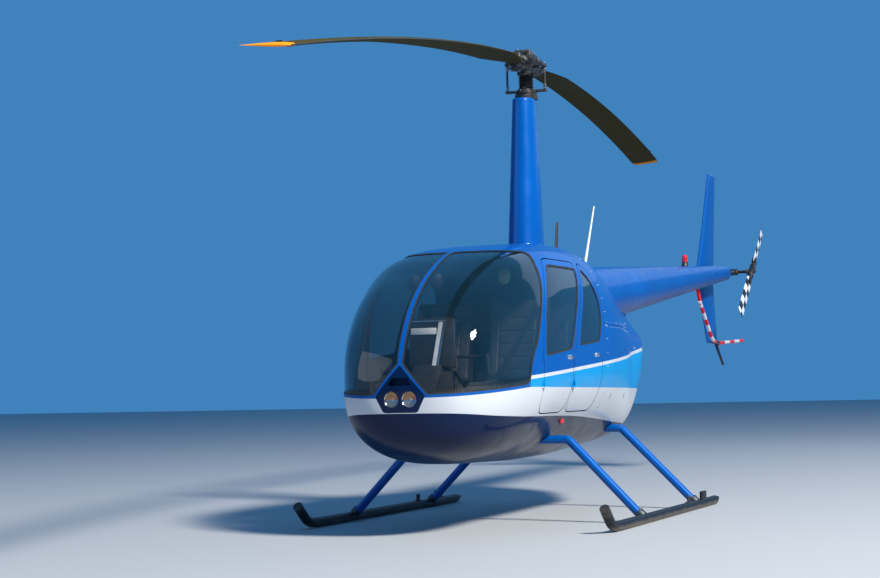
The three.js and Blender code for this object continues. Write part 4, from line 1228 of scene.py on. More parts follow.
# %% Skids
skid_paint = finish_of("worn_skid", (0.02, 0.02, 0.022), metallic=0.5, roughness=0.5)
split = on_object(skid_paint, "ShaderNodeSeparateXYZ")
low_down = arithmetic(skid_paint, "SUBTRACT", 1.0, arithmetic(skid_paint, "MULTIPLY", split.outputs["Z"], 14.0))
toe = arithmetic(skid_paint, "MULTIPLY_ADD", split.outputs["X"], 3.0, -6.6)
toe = arithmetic(skid_paint, "MINIMUM", arithmetic(skid_paint, "MAXIMUM", toe, 0.0), 1.0)
rubbed = arithmetic(skid_paint, "MAXIMUM", low_down, arithmetic(skid_paint, "MULTIPLY", toe, 0.8))
rubbed = arithmetic(skid_paint, "ADD", rubbed,
                    arithmetic(skid_paint, "MULTIPLY_ADD", noise(skid_paint, 16.0, 6.0), 0.55, -0.375))
mixed(skid_paint, rubbed, (0.014, 0.016, 0.022), (0.17, 0.14, 0.115), low=0.35, high=0.85)
bumped(skid_paint, noise(skid_paint, 160.0, 4.0), 0.2, 0.0006)
skid_line = rounded_line([(-0.350, SKID_Y, 0.042), (-0.250, SKID_Y, SKID_R), (2.110, SKID_Y, SKID_R),
                          (2.280, SKID_Y, 0.040), (2.422, SKID_Y, 0.158)], 0.35, 12)
length = sum((b - a).length for a, b in zip(skid_line, skid_line[1:]))
runner = tube(skid_line, np.interp(np.linspace(0, 1, 400), [0, 0.1 / length, 1], [0.012, 0.032, 0.032]), 36)
lug = block((0.020, SKID_Y - 0.008, 0.040), (0.150, SKID_Y + 0.012, 0.118), 0.004)
carved(lug, bar((0.128, 1.0, 0.092), (0.128, 1.1, 0.092), 0.011))
shoes = [block((low, SKID_Y - 0.020, 0.0004), (high, SKID_Y + 0.020, 0.006), 0.002) for low, high in
         ((-0.20, 0.10), (0.40, 1.10), (1.35, 1.95))]
paired(joined([runner, lug, *shoes]), "skid_runner_{}", skid_paint, stands_for="skid_{}")

# %% [markdown]
# ## Main rotor blades
# A blade droops under its own weight when it doesn't turn, and it is twisted, so it is lofted along a bent line. The
# leading edge is a bare metal strip, the rest is dull olive paint, and the last hand's breadth is orange so that
# people see the turning disc.

# %% Blades
ROTOR_HUB_Z, BLADE_TIP_R = 3.249, 5.029
GRIP_BOLT_R, PAD_R, LINK_Y = 0.195, 0.30, 0.140
AZIMUTH = math.radians(6.6)


def on_blade(radius, blade):
    """The blade line's point at a radius: straight ahead of the mast before the azimuth is applied."""
    return Vector((blade * radius, 0, ROTOR_HUB_Z - blade * 0.0631 * radius - 0.453 * (radius / BLADE_TIP_R) ** 1.752))


def to_azimuth(piece):
    """Turns a piece modelled along X to where the rotor is parked."""
    return moved(piece, (MAST, 0, 0), Matrix.Rotation(AZIMUTH, 4, "Z"))


END_TURN = {1: Matrix(), -1: Matrix.Rotation(math.pi, 4, "Z")}


BLADE = np.array([(330, 130, 44), (520, 190, 40), (760, 254, 30), (1400, 254, 28), (2100, 254, 27), (2800, 254, 27),
                  (3500, 254, 26), (4200, 254, 25), (4960, 254, 22), (5029, 235, 14)], float)


def blade_ring(radius_mm, blade, squeeze=1.0):
    """A section of a twisted blade, made thinner by squeeze."""
    chord, thickness = looked_up(BLADE, radius_mm)
    pitch = math.radians(np.interp(radius_mm, (760, 5029), (4.6, -4.0)))
    cos, sin = math.cos(pitch), math.sin(pitch)
    centre = on_blade(radius_mm * MM, blade)
    u, v = aerofoil(chord, thickness * squeeze, 56)
    fore, v = u * MM - chord * 0.045 * MM, v * MM
    return ring_of(centre.x, blade * (fore * cos - v * sin), centre.z + fore * sin + v * cos)


blade_coat = finish_of("blade_olive", specular_ior_level=0.04)
flat = on_object(blade_coat, "ShaderNodeMapping", Location=(-MAST, 0, 0), Scale=(1, 1, 0))
radius_of = node(blade_coat, "ShaderNodeVectorMath", operation="LENGTH")
linked(blade_coat, flat.outputs["Vector"], radius_of.inputs[0])
tip_share = arithmetic(blade_coat, "GREATER_THAN", radius_of.outputs["Value"], 4.930)
stain = noise(blade_coat, 5.0, 5.0)
olive = blended(blade_coat, stain, (0.031, 0.026, 0.006), (0.060, 0.050, 0.011))
linked(blade_coat, blended(blade_coat, tip_share, olive, (0.78, 0.25, 0.012)), "Base Color")
rough(blade_coat, stain, 0.55, 0.75)
edge_metal = finish_of("leading_edge_metal", (0.060, 0.056, 0.038), metallic=0.6)
rough(edge_metal, noise(edge_metal, 40.0, 5.0, (1, 6, 1)), 0.42, 0.62)

for blade, name in ((1, "low"), (-1, "high")):
    rings = [blade_ring(r, blade) for r in (*np.linspace(330, 760, 14), *np.linspace(840, 4990, 46))]
    rings += [blade_ring(r, blade, s) for r, s in ((5005, 1.0), (5018, 0.92), (5026, 0.7), (5029, 0.35))]
    nose_line = [Vector(blade_ring(r, blade)[0]) - Vector((0, blade * 0.0022, 0)) for r in np.linspace(700, 4985, 30)]
    tab = moved(block((4.370, -0.150, -0.0008), (4.530, -0.116, 0.0008)),
                on_blade(4.45, blade) - Vector((blade * 4.45, 0, 0)), END_TURN[blade])
    finished(to_azimuth(grouped([loft(rings), tab], [tube(nose_line, 0.0035, 8)])), f"main_blade_{name}",
             [blade_coat, edge_metal], "main_rotor")

# %% [markdown]
# ## Rotor head
# The two blades hang on one beam that can rock on a bolt across the mast, like a seesaw. A grip holds each blade, a
# horn reaches back from each grip to the rocking line, and a link runs down from it to the swashplate. All of it is
# steel that lives in grease, so it is dark and stained, with bright spots only on bolts and on the top plate. The top
# plate's bright steel also stands for light falling on the top of the head: painted highlight.

# %% Greasy and machined steel
greasy = mottled("greasy_steel", (24, 6), (0.020, 0.019, 0.018), (0.105, 0.105, 0.108), ((55, 4), 0.32, 0.62),
                 ((380, 3), 0.2, 0.0004), 0.38, 0.72, metallic=0.75)
machined = mottled("machined_steel", (45, 5, (1, 1, 8)), (0.24, 0.24, 0.25), (0.42, 0.42, 0.44),
                   ((120, 3), 0.24, 0.42), metallic=1.0)


def around(radius, first, count=8):
    """Points on a circle, as pairs."""
    return [(radius * math.cos(a), radius * math.sin(a))
            for a in np.linspace(first, 2 * math.pi + first, count, endpoint=False)]


def nut(centre, facing, width=0.011, height=0.010):
    """A hexagonal nut with a washer under it."""
    centre, facing = Vector(centre), Vector(facing).normalized()
    washer = bar(centre, centre + facing * 0.002, width * 1.5)
    body = bar(centre + facing * 0.002, centre + facing * height, width, sides=6, bevel=0.0008)
    stud = bar(centre + facing * height, centre + facing * (height + 0.005), width * 0.5, sides=12, bevel=0.0006)
    return joined([washer, body, stud])


# %% Hub, grips and horns
HUB = Vector((0, 0, ROTOR_HUB_Z))
mast_shaft = bar((0, 0, 2.998), (0, 0, 3.300), 0.032, sides=48)
beam = bar(on_blade(0.150, -1), on_blade(0.150, 1), 0.056, sides=48, bevel=0.006)
teeter = bar(HUB + Vector((0, -0.105, 0)), HUB + Vector((0, 0.105, 0)), 0.026, sides=40, bevel=0.004)
cap = block((-0.125, -0.066, 3.269), (0.125, 0.066, 3.332), 0.010, 3)
# The top plate's bright steel is partly painted highlight: it makes the top of the head lighter than the dark cap.
plate = block((-0.118, -0.060, 3.332), (0.118, 0.060, 3.343), 0.003)
ribs = [block((x - 0.006, -0.069, 3.262), (x + 0.006, 0.069, 3.326), 0.002) for x in (-0.085, 0, 0.085)]
boot = turned([(0.0325, 3.0695)] + [(0.048 + 0.008 * math.cos(1.257 * k), 3.0695 + 0.0026 * k) for k in range(38)]
              + [(0.0325, 3.168)])
stops_below = [block((x - 0.022, -0.046, 3.163), (x + 0.022, 0.046, 3.196), 0.006) for x in (-0.058, 0.058)]
stops_below.append(block((-0.070, -0.030, 3.172), (0.070, 0.030, 3.200), 0.005))
bolts = [nut((x, y, 3.343), (0, 0, 1), 0.009, 0.009) for x in (-0.090, 0, 0.090) for y in (-0.038, 0.038)]
bolts += [nut(HUB + Vector((0, side * 0.105, 0)), (0, side, 0), 0.016, 0.012) for side in (1, -1)]
for side in (1, -1):
    bolts += [nut(on_blade(0.110, side) + Vector((0, y * 0.052, 0)), (0, y, 0), 0.013, 0.010) for y in (1, -1)]
head = grouped([mast_shaft, beam, teeter, cap, *ribs], [plate, *bolts], [boot, *stops_below])
finished(to_azimuth(head), "rotor_head", [greasy, machined, rubber], "main_rotor", ("rotor_hub",))

HORN = [(170, 20), (220, 20), (220, 156), (-16, 156), (-16, 124), (170, 124)]
for blade, name in ((1, "low"), (-1, "high")):
    inner, outer = on_blade(0.1513, blade), on_blade(0.345, blade)
    far = (outer - inner).length
    profile = [(0, 0), (0.060, 0), (0.062, 0.004), (0.062, 0.016), (0.055, 0.019), (0.055, 0.040), (0.058, 0.043),
               (0.058, 0.052), (0.053, 0.056), (0.046, 0.150), (0.048, 0.153), (0.048, 0.176), (0.044, 0.182),
               (0.042, far), (0, far)]
    grip = turned(profile, inner, (outer - inner).normalized(), 48)
    z = on_blade(GRIP_BOLT_R, blade).z
    horn = moved(prism(metres(rounded(HORN, 14, 5), 0), -0.012, 0.012, "xy"), (0, 0, z), END_TURN[blade])
    bevelled(horn, 0.0025)
    pads = [moved(block((blade * PAD_R - 0.055, -0.060, low), (blade * PAD_R + 0.055, 0.060, low + 0.012), 0.004),
                  (0, 0, on_blade(PAD_R, blade).z)) for low in (0.010, -0.022)]
    studs = [nut(on_blade(GRIP_BOLT_R, blade) + Vector((0, 0, turn * 0.052)), (0, 0, turn), 0.012, 0.010)
             for turn in (1, -1)]
    studs += [nut(on_blade(r, blade) + Vector((0, y, 0.022)), (0, 0, 1), 0.008, 0.008)
              for r in (0.265, 0.335) for y in (-0.038, 0.038)]
    studs += [nut((0, blade * LINK_Y, z + 0.012), (0, 0, 1), 0.009, 0.009)]
    finished(to_azimuth(grouped([grip, horn, *pads], studs)), f"blade_grip_{name}", [greasy, machined], "main_rotor",
             (f"blade_{name}",))

# %% Swashplate and links
lower = turned([(0.040, 2.9905), (0.080, 2.9905), (0.084, 2.994), (0.084, 3.024), (0.080, 3.030), (0.040, 3.030)],
               (MAST, 0, 0))
finished(lower, "swashplate_lower", greasy, stands_for=("swashplate_fixed",))
scissors = block((0.026, -0.010, 3.068), (0.068, 0.010, 3.076), 0.002)
ring = turned([(0.0325, 3.0325), (0.075, 3.0325), (0.078, 3.036), (0.078, 3.050), (0.070, 3.052), (0.070, 3.062),
               (0.062, 3.069), (0.0325, 3.069)])
links, ends = [], []
for blade in (1, -1):
    top = on_blade(GRIP_BOLT_R, blade).z - 0.0125
    y = blade * LINK_Y
    links.append(block((-0.015, min(blade * 0.060, y + blade * 0.014), 3.046),
                       (0.015, max(blade * 0.060, y + blade * 0.014), 3.064), 0.004, 3))
    links.append(bar((0, y, 3.066), (0, y, top - 0.030), 0.0075))
    for z in (3.070, top - 0.036):
        ends.append(bar((0, y, z), (0, y, z + 0.030), 0.0115, sides=6, bevel=0.001))
        ends.append(bar((-0.013, y, z + 0.015), (0.013, y, z + 0.015), 0.010, bevel=0.001))
    ends.append(bar((0, y, top - 0.008), (0, y, top), 0.009))
ends += [nut((x, y, 3.052), (0, 0, 1), 0.005, 0.006) for x, y in around(0.072, 0.4)]
finished(to_azimuth(grouped([ring, *links, scissors], ends)), "swashplate_upper", [greasy, machined], "main_rotor",
         ("swashplate_turning",))

# %% [markdown]
# ## Tail rotor
# A small gearbox closes the boom, painted like it, with a dark output housing. A thin shaft carries the seesaw yoke and
# two blades in black and white blocks. The blocks are measured along the blade and across it, so the paint rides
# on the blades in its own directions.

# %% Gearbox and beacon
TAIL = Vector((-5.143, 0.262, 2.035))
boom_end = Vector((BOOM_B * MM + MAST, 0, boom_axis(BOOM_B) * MM))
cap_end = Vector((TAIL.x - 0.045, 0, TAIL.z))
flange = bar(boom_end - Vector((0.0003, 0, 0)), boom_end - Vector((0.030, 0, 0)), 0.079, 0.076, 64, 0.003)
casing = bar(boom_end - Vector((0.025, 0, 0)), cap_end, 0.075, 0.034, 64, 0.004)
ribs = []
for k in range(6):
    turn = k * math.pi / 3 + 0.3
    out = Vector((0, math.cos(turn), math.sin(turn)))
    ribs.append(bar(boom_end - Vector((0.030, 0, 0)) + out * 0.060, cap_end + Vector((0.040, 0, 0)) + out * 0.032,
                    0.006, sides=12))
output = turned([(0, 0), (0.034, 0), (0.034, 0.070), (0.031, 0.074), (0.031, 0.096), (0.034, 0.100), (0.034, 0.112),
                 (0.030, 0.118), (0.024, 0.1217), (0, 0.1217)], (TAIL.x, 0, TAIL.z), "Y", 48)
outer_nuts = [nut(boom_end + Vector((-0.030, y, z)), (-1, 0, 0), 0.006, 0.007) for y, z in around(0.066, 0.2)]
finished(grouped([flange, casing, *ribs], [output, *outer_nuts]), "tail_gear_case", [royal_paint, greasy],
         stands_for=("tail_gearbox",))

BEACON = Vector((-4.260 + MAST, 0, (boom_axis(-4260) + boom_radius(-4260)) * MM))
base = turned([(0, -0.004), (0.030, -0.004), (0.030, 0.014), (0.028, 0.018), (0.028, 0.032), (0.030, 0.035),
               (0, 0.035)], BEACON, "Z", 48)
LENS = dict(roughness=0.08, coat_weight=1.0, coat_roughness=0.02)
red_lens = mottled("red_lens_glass", (40, 3), (0.34, 0.002, 0.004), (0.62, 0.006, 0.010),
                   relief=((260, 1, (1, 1, 0.02)), 0.3, 0.001), **LENS)
dome = turned([(0, 0.035), (0.026, 0.035), (0.027, 0.038), (0.027, 0.080)]
              + [(0.027 * math.cos(t), 0.080 + 0.030 * math.sin(t)) for t in np.linspace(0.15, math.pi / 2, 9)],
              BEACON, "Z", 48)
finished(base, "beacon_base", greasy)
finished(dome, "beacon_lens", red_lens, stands_for=("beacon",))

# %% Tail rotor hub and blades
BLADE_TURN = math.radians(140.6)
TAIL_PITCH = -0.13
shaft = bar((TAIL.x, 0.1223, TAIL.z), (TAIL.x, 0.305, TAIL.z), 0.0155, sides=32, bevel=0.002)
collar = bar((TAIL.x, 0.205, TAIL.z), (TAIL.x, 0.232, TAIL.z), 0.024, sides=32, bevel=0.002)
way = Vector((math.cos(BLADE_TURN), 0, math.sin(BLADE_TURN)))
yoke = bar(TAIL - way * 0.085, TAIL + way * 0.085, 0.030, sides=40, bevel=0.004)
yoke_bolts = [nut(TAIL + way * r + Vector((0, side * 0.029, 0)), (0, side, 0), 0.008, 0.008) for r in (-0.055, 0.055)
              for side in (1, -1)]
end_nut = nut((TAIL.x, 0.296, TAIL.z), (0, 1, 0), 0.013, 0.008)
finished(grouped([shaft, collar, yoke], [*yoke_bolts, end_nut]), "tail_rotor_yoke", [greasy, machined], "tail_rotor",
         ("tail_rotor_hub",))


def checks(name, angle):
    """Black and white blocks laid out along one tail blade and across it."""
    material = finish_of(name, roughness=0.4, coat_weight=0.3, coat_roughness=0.1)
    mapping = on_object(material, "ShaderNodeMapping", vector_type="TEXTURE", Location=tuple(TAIL),
                        Rotation=(0, angle, 0))
    split = node(material, "ShaderNodeSeparateXYZ")
    linked(material, mapping.outputs["Vector"], split.inputs["Vector"])
    along = split.outputs["X"]
    far = arithmetic(material, "FRACT", arithmetic(material, "MULTIPLY", along, 1 / 0.190))
    column = arithmetic(material, "GREATER_THAN", far, 0.5)
    side = arithmetic(material, "GREATER_THAN", split.outputs["Z"], 0.0)
    odd = arithmetic(material, "ABSOLUTE", arithmetic(material, "SUBTRACT", column, side))
    odd = arithmetic(material, "MULTIPLY", odd, arithmetic(material, "GREATER_THAN", along, 0.195))
    colour = blended(material, odd, (0.80, 0.80, 0.80), (0.012, 0.012, 0.013))
    linked(material, blended(material, 0.22, colour, noise(material, 9.0, 5.0), "MULTIPLY"), "Base Color")
    bumped(material, noise(material, 240.0, 2.0), 0.05, 0.0004)
    return material


for blade, name in ((1, "upper"), (-1, "lower")):
    angle = -BLADE_TURN + (0 if blade > 0 else math.pi)
    cos, sin = math.cos(TAIL_PITCH), math.sin(TAIL_PITCH)
    rings = []
    for radius, chord, thick in [(135, 90, 22), (160, 112, 20), (190, 130, 18)] + [
            (r, 130, 18 - 6 * (r - 190) / 510) for r in np.linspace(230, 690, 16)] + [(697, 128, 8), (700, 122, 3)]:
        u, v = aerofoil(chord, thick, 48)
        rings.append(ring_of(radius, v * cos + u * sin, u * cos - v * sin) * MM)
    cuff = turned([(0, 0.0853), (0.029, 0.0853), (0.030, 0.088), (0.030, 0.100), (0.025, 0.104), (0.020, 0.145),
                   (0, 0.145)], axis="X", steps=40)
    cheeks = block((0.128, -0.014, -0.036), (0.205, 0.014, 0.036), 0.004)
    studs = [nut((r, side * 0.0145, z), (0, side, 0), 0.006, 0.006) for r in (0.145, 0.188)
             for z in (-0.020, 0.020) for side in (1, -1)]
    whole = moved(grouped([loft(rings)], [cuff, cheeks, *studs]), TAIL, Matrix.Rotation(angle, 4, "Y"))
    finished(whole, f"tail_wing_{name}", [checks(f"blocks_{name}", angle), greasy], "tail_rotor",
             (f"tail_blade_{name}",))

# %% [markdown]
# ## Exhaust
# The exhaust leaves the engine bay through a hole in the left cowl. Hot gas leaves the steel rusty and sooty.

# %% The sooty pipe
sooty = mottled("sooty_steel", (22, 6), (0.014, 0.011, 0.009), (0.10, 0.060, 0.038),
                relief=((300, 4), 0.3, 0.0006), low=0.4, high=0.75, metallic=0.55, roughness=0.7)
X0, Y0 = -1.010 + MAST, 0.150
muffler = block((-0.330, 0.090, 0.700), (-0.1903, 0.210, 0.790), 0.020, 4)
line = rounded_line([(X0, Y0, 0.740), (X0, Y0, 0.640), (X0 - 0.070, Y0, 0.541)], 0.4, 8)
outer = tube(line, 0.032, 40)
along = (line[-1] - line[-2]).normalized()
carved(outer, tube([line[-1] + along * 0.02, *[line[-1] - along * d for d in (0.02, 0.06)]], 0.029, 40))
clamp = bar(line[-1] - along * 0.070, line[-1] - along * 0.056, 0.0345, sides=40, bevel=0.001)
finished(joined([muffler, outer, clamp]), "exhaust_pipe", sooty, stands_for=("exhaust",))

# %% [markdown]
# ## Engine
# The cowls hide a flat piston engine: a crankcase with two finned cylinders on each side, rocker covers at their ends
# and a belt drive behind it. A cylinder with its cooling fins is one outline, spun round the cylinder's own line.

# %% Crankcase, cylinders and belt drive
cast = mottled("cast_aluminium", (30, 6), (0.10, 0.10, 0.105), (0.24, 0.24, 0.25), ((60, 4), 0.45, 0.7),
               ((700, 3), 0.35, 0.0006), 0.3, 0.75, metallic=0.7)
CYLINDER_Z, EXHAUST_Z, SHEAVE_X, LOW_SHEAVE_Z, HIGH_SHEAVE_Z = 0.880, 0.712, -0.180, 0.860, 1.076
castings = [block((-0.060, -0.120, 0.760), (0.610, 0.120, 1.020), 0.024, 3),
            block((-0.020, -0.105, 0.692), (0.520, 0.105, 0.780), 0.016, 3),
            block((0.120, -0.070, 1.000), (0.460, 0.070, 1.090), 0.020, 3)]
blacks = []
for side in (1, -1):
    for x in (0.130, 0.410):
        fins = [(0, 0), (0.078, 0), (0.078, 0.012)]
        for k in range(13):
            along = 0.018 + 0.011 * k
            fins += [(0.066, along), (0.092, along + 0.002), (0.092, along + 0.0045), (0.066, along + 0.0065)]
        fins += [(0.076, 0.164), (0.076, 0.196), (0, 0.196)]
        castings.append(turned(fins, (x, side * 0.110, CYLINDER_Z), (0, side, 0), 48))
        y = side * 0.318
        blacks.append(block((x - 0.058, y - 0.020, 0.836), (x + 0.058, y + 0.020, 0.950), 0.012, 3))
        y = side * 0.190
        rise = [(x, side * 0.200, 0.800), (x, side * 0.200, 0.730), (x - 0.060, y, EXHAUST_Z)]
        blacks.append(tube(rounded_line(rise, 0.4, 6), 0.019, 20))
        blacks.append(bar((x - 0.045, y, EXHAUST_Z), (x - 0.105, y, EXHAUST_Z), 0.019, sides=20))
    collector = [(0.420, y, EXHAUST_Z), (-0.080, y, EXHAUST_Z), (-0.160, side * 0.150, 0.730)]
    blacks.append(tube(rounded_line(collector, 0.3), 0.0175, 20))
    for z, drop in ((0.760, 0.040), (1.090, -0.120)):
        arm = [(0.560, side * 0.150, z + drop), (0.700, side * 0.280, z), (0.9495, side * 0.280, z)]
        blacks.append(tube(rounded_line(arm, 0.3), 0.0165, 20))
        blacks.append(bar((0.930, side * 0.280, z), (0.9495, side * 0.280, z), 0.030, sides=32, bevel=0.002))
sheave = [(0, 0), (0.120, 0), (0.120, 0.004), (0.112, 0.012), (0.120, 0.020), (0.112, 0.028), (0.120, 0.036),
          (0.112, 0.044), (0.120, 0.052), (0.120, 0.056), (0, 0.056)]
brights = [turned(sheave, (SHEAVE_X, 0, LOW_SHEAVE_Z), "X", 64),
           turned([(r * 0.55, a) for r, a in sheave], (SHEAVE_X, 0, HIGH_SHEAVE_Z), "X", 48),
           bar((-0.130, 0, LOW_SHEAVE_Z), (-0.050, 0, LOW_SHEAVE_Z), 0.030, sides=32, bevel=0.002)]
belts = [(radius * math.cos(a), z + radius * math.sin(a)) for radius, z, angles in (
    (0.1135, LOW_SHEAVE_Z, np.linspace(math.pi - 0.24, 2 * math.pi + 0.24, 40)),
    (0.0625, HIGH_SHEAVE_Z, np.linspace(0.24, math.pi - 0.24, 20))) for a in angles]
inner = [(y * 0.90, 0.93 + (z - 0.93) * 0.93) for y, z in belts]
for x in (-0.172, -0.156, -0.140):
    blacks.append(carved(prism(belts, x, x + 0.008, "yz"), prism(inner, x - 0.01, x + 0.02, "yz")))
finished(grouped(castings, blacks, brights), "piston_engine", [cast, sooty, machined],
         stands_for=("engine",))

# %% [markdown]
# ## Cabin
# The cabin is seen through dark glass and through open doors, so it is furnished: carpet, seat boxes, four seats, a
# console with round dials, a control stick between the front seats, pedals, belts and headsets.

# %% Linings, carpet, leather
FLOOR_Z = 0.620
carpet = mottled("grey_carpet", (900, 2), (0.010, 0.011, 0.014), (0.050, 0.053, 0.062),
                 relief=((1100, 2), 0.9, 0.003), roughness=0.95)
box_vinyl = mottled("seat_box_vinyl", (5, 4), (0.040, 0.042, 0.048), (0.060, 0.063, 0.070),
                    relief=((520, 2), 0.3, 0.0005), roughness=0.55)
leather = mottled("dark_leather", (7, 5), (0.040, 0.041, 0.045), (0.075, 0.077, 0.082), ((30, 4), 0.36, 0.52),
                  coat_weight=0.2, coat_roughness=0.35)
grain = on_object(leather, "ShaderNodeTexVoronoi", Scale=420.0, feature="DISTANCE_TO_EDGE")
bumped(leather, grain.outputs["Distance"], 0.35, 0.0012)
black_plastic = mottled("black_plastic", (12, 4), (0.011, 0.011, 0.012), (0.022, 0.022, 0.024),
                        relief=((700, 2), 0.3, 0.0004), roughness=0.5)

bulkhead = carved(skin(22.3), block((0.9503, -1, 0.2), (0.9697, 1, 2.2)), "INTERSECT")
finished(bulkhead, "rear_bulkhead", lining_with_painted_shade, stands_for=("firewall",))
rug = carved(skin(22.3), block((0.9703, -1, FLOOR_Z - 0.014), (2.830, 1, FLOOR_Z)), "INTERSECT")
finished(rug, "cabin_carpet", carpet, stands_for=("cabin_floor",))

# %% Seat boxes
for row, rear, front, half in (("front", 1.720, 2.200, 0.480), ("rear", 1.090, 1.530, 0.490)):
    chest = carved(skin(22.5), block((rear, -half, FLOOR_Z + 0.0003), (front, half, 0.850)), "INTERSECT")
    panels = [bevelled(chest, 0.004)]
    trims = [block((front - 0.020, -half + 0.012, 0.838), (front + 0.0015, half - 0.012, 0.8500), 0.001)]
    for y in (-0.270, 0.270):
        panels.append(block((front - 0.004, y - 0.150, 0.660), (front + 0.003, y + 0.150, 0.810), 0.003))
        trims.append(bar((front, y, 0.785), (front + 0.010, y, 0.785), 0.011, bevel=0.001))
    finished(grouped(panels, trims), f"seat_box_{row}", [box_vinyl, machined],
             stands_for=(f"seat_base_{row}",))


# %% [markdown]
# ## Door trims
# Inside, each door has a padded map pocket below its window and a pull handle above it. The pocket is cut from a wall
# that lies just inside the door's own skin, so it follows the curve of the door.

# %% Pockets and pulls
pocket_wall = shell(CABIN_WALL + 0.3, CABIN_WALL + 14)
for row, low, high in (("front", 1090, 1430), ("rear", 490, 860)):
    outline = metres(rounded([(low, 790), (high, 790), (high, 955), (low, 985)], 30))
    pocket = carved(copied(pocket_wall), prism(outline, *LEFT), "INTERSECT")
    lip = [skin_point(x, 985 - 30 * (x - low) / (high - low), 1, CABIN_WALL + 12)[0]
           for x in range(low + 20, high - 10, 20)]
    ends = [skin_point(x, 1045, 1, CABIN_WALL - 4)[0] for x in (low + 50, low + 190)]
    reach = Vector((0, -0.036, 0))
    pull = tube(rounded_line([ends[0], ends[0] + reach, ends[1] + reach, ends[1]], 0.4), 0.008, 12)
    paired(grouped([pocket], [tube(lip, 0.005, 10), pull]), row + "_door_trim_{}", [leather, rubber], row + "_{}_door")

# %% [markdown]
# ## Seats
# A seat is two filled covers: the one that is sat on and the back. A cover is remeshed to even small faces and blown up
# as cloth with gravity off. How far a point may move is capped, so that the seat keeps its shape, and the underside
# stays flat on its box. Welts and sewn channels come afterwards, laid on the finished surface.

# %% Filling a cushion
def filled(piece, cap, floor_at=-9.0, voxel=0.0085):
    """Blows a cover up as cloth, holds each point within a cap, and smooths the result."""
    worked(piece, "REMESH", mode="VOXEL", voxel_size=voxel)
    count = len(piece.data.vertices)
    start = np.empty(count * 3)
    piece.data.vertices.foreach_get("co", start)
    alone(piece)
    bpy.ops.object.modifier_add(type="CLOTH")
    cloth = piece.modifiers[-1]
    cloth.settings.use_pressure = True
    cloth.settings.uniform_pressure_force = 4.0
    cloth.settings.effector_weights.gravity = 0
    cloth.point_cache.frame_start, cloth.point_cache.frame_end = 1, 20
    for frame_number in range(1, 21):
        bpy.context.scene.frame_set(frame_number)
    shaped = piece.evaluated_get(bpy.context.evaluated_depsgraph_get())
    end = np.empty(count * 3)
    shaped.data.vertices.foreach_get("co", end)
    piece.modifiers.remove(cloth)
    bpy.context.scene.frame_set(1)
    move = (end - start).reshape(-1, 3)
    length = np.linalg.norm(move, axis=1, keepdims=True)
    move *= np.minimum(1, cap / np.maximum(length, 1e-9))
    places = start.reshape(-1, 3) + move
    places[:, 2] = np.maximum(places[:, 2], floor_at)
    piece.data.vertices.foreach_set("co", places.ravel())
    piece.data.update()
    return worked(piece, "SUBSURF", levels=1, render_levels=1)


def pressed(piece, distance_to_seam, depth=0.006, width=0.007):
    """Presses sewn channels into a cushion: distance_to_seam gives how far each point is from the nearest seam."""
    mesh = piece.data
    count = len(mesh.vertices)
    places, normals = np.empty(count * 3), np.empty(count * 3)
    mesh.vertices.foreach_get("co", places)
    mesh.vertices.foreach_get("normal", normals)
    places, normals = places.reshape(-1, 3), normals.reshape(-1, 3)
    depth_here = depth * np.exp(-(distance_to_seam(places) / width) ** 2)[:, None]
    mesh.vertices.foreach_set("co", (places - normals * depth_here).ravel())
    mesh.update()
    return piece


def laid(piece, points, lift=0.0):
    """Points moved to the nearest place on a piece's surface, each with the direction that the surface faces."""
    found = []
    for point in points:
        _, place, normal, _ = piece.closest_point_on_mesh(Vector(point))
        found.append((place + normal * lift, normal))
    return found


def welt(piece, corners, radius=0.0035, reach=0.2):
    """A piped edge that follows a closed path over a cushion."""
    path = rounded_line([corners[0].lerp(corners[-1], 0.5), *corners, corners[0].lerp(corners[-1], 0.5)], reach, 6)
    fine = [a.lerp(b, t) for a, b in zip(path, path[1:]) for t in np.linspace(0, 1, 6)[:-1]]
    return tube([place for place, _ in laid(piece, fine)] + [laid(piece, [path[-1]])[0][0]], radius, 8)


def belt(piece, points, width=0.046, thick=0.0016):
    """Webbing laid over a cushion along a line of points."""
    rings = []
    places = laid(piece, points, 0.002)
    for i, (place, normal) in enumerate(places):
        along = (places[min(i + 1, len(places) - 1)][0] - places[max(i - 1, 0)][0]).normalized()
        side = along.cross(normal).normalized() * width / 2
        up = normal * thick
        rings.append([place - side, place + side, place + side + up, place - side + up])
    return loft(rings)


# %% Four seats
webbing = finish_of("belt_webbing", roughness=0.8)
weave = on_object(webbing, "ShaderNodeTexWave", Scale=260.0, Distortion=0.4)
bumped(webbing, weave.outputs["Color"], 0.5, 0.0008)
mixed(webbing, weave.outputs["Fac"], (0.012, 0.012, 0.014), (0.034, 0.034, 0.038))
thread = mottled("pale_thread", (900, 2), (0.15, 0.15, 0.16), (0.26, 0.26, 0.27), roughness=0.7)

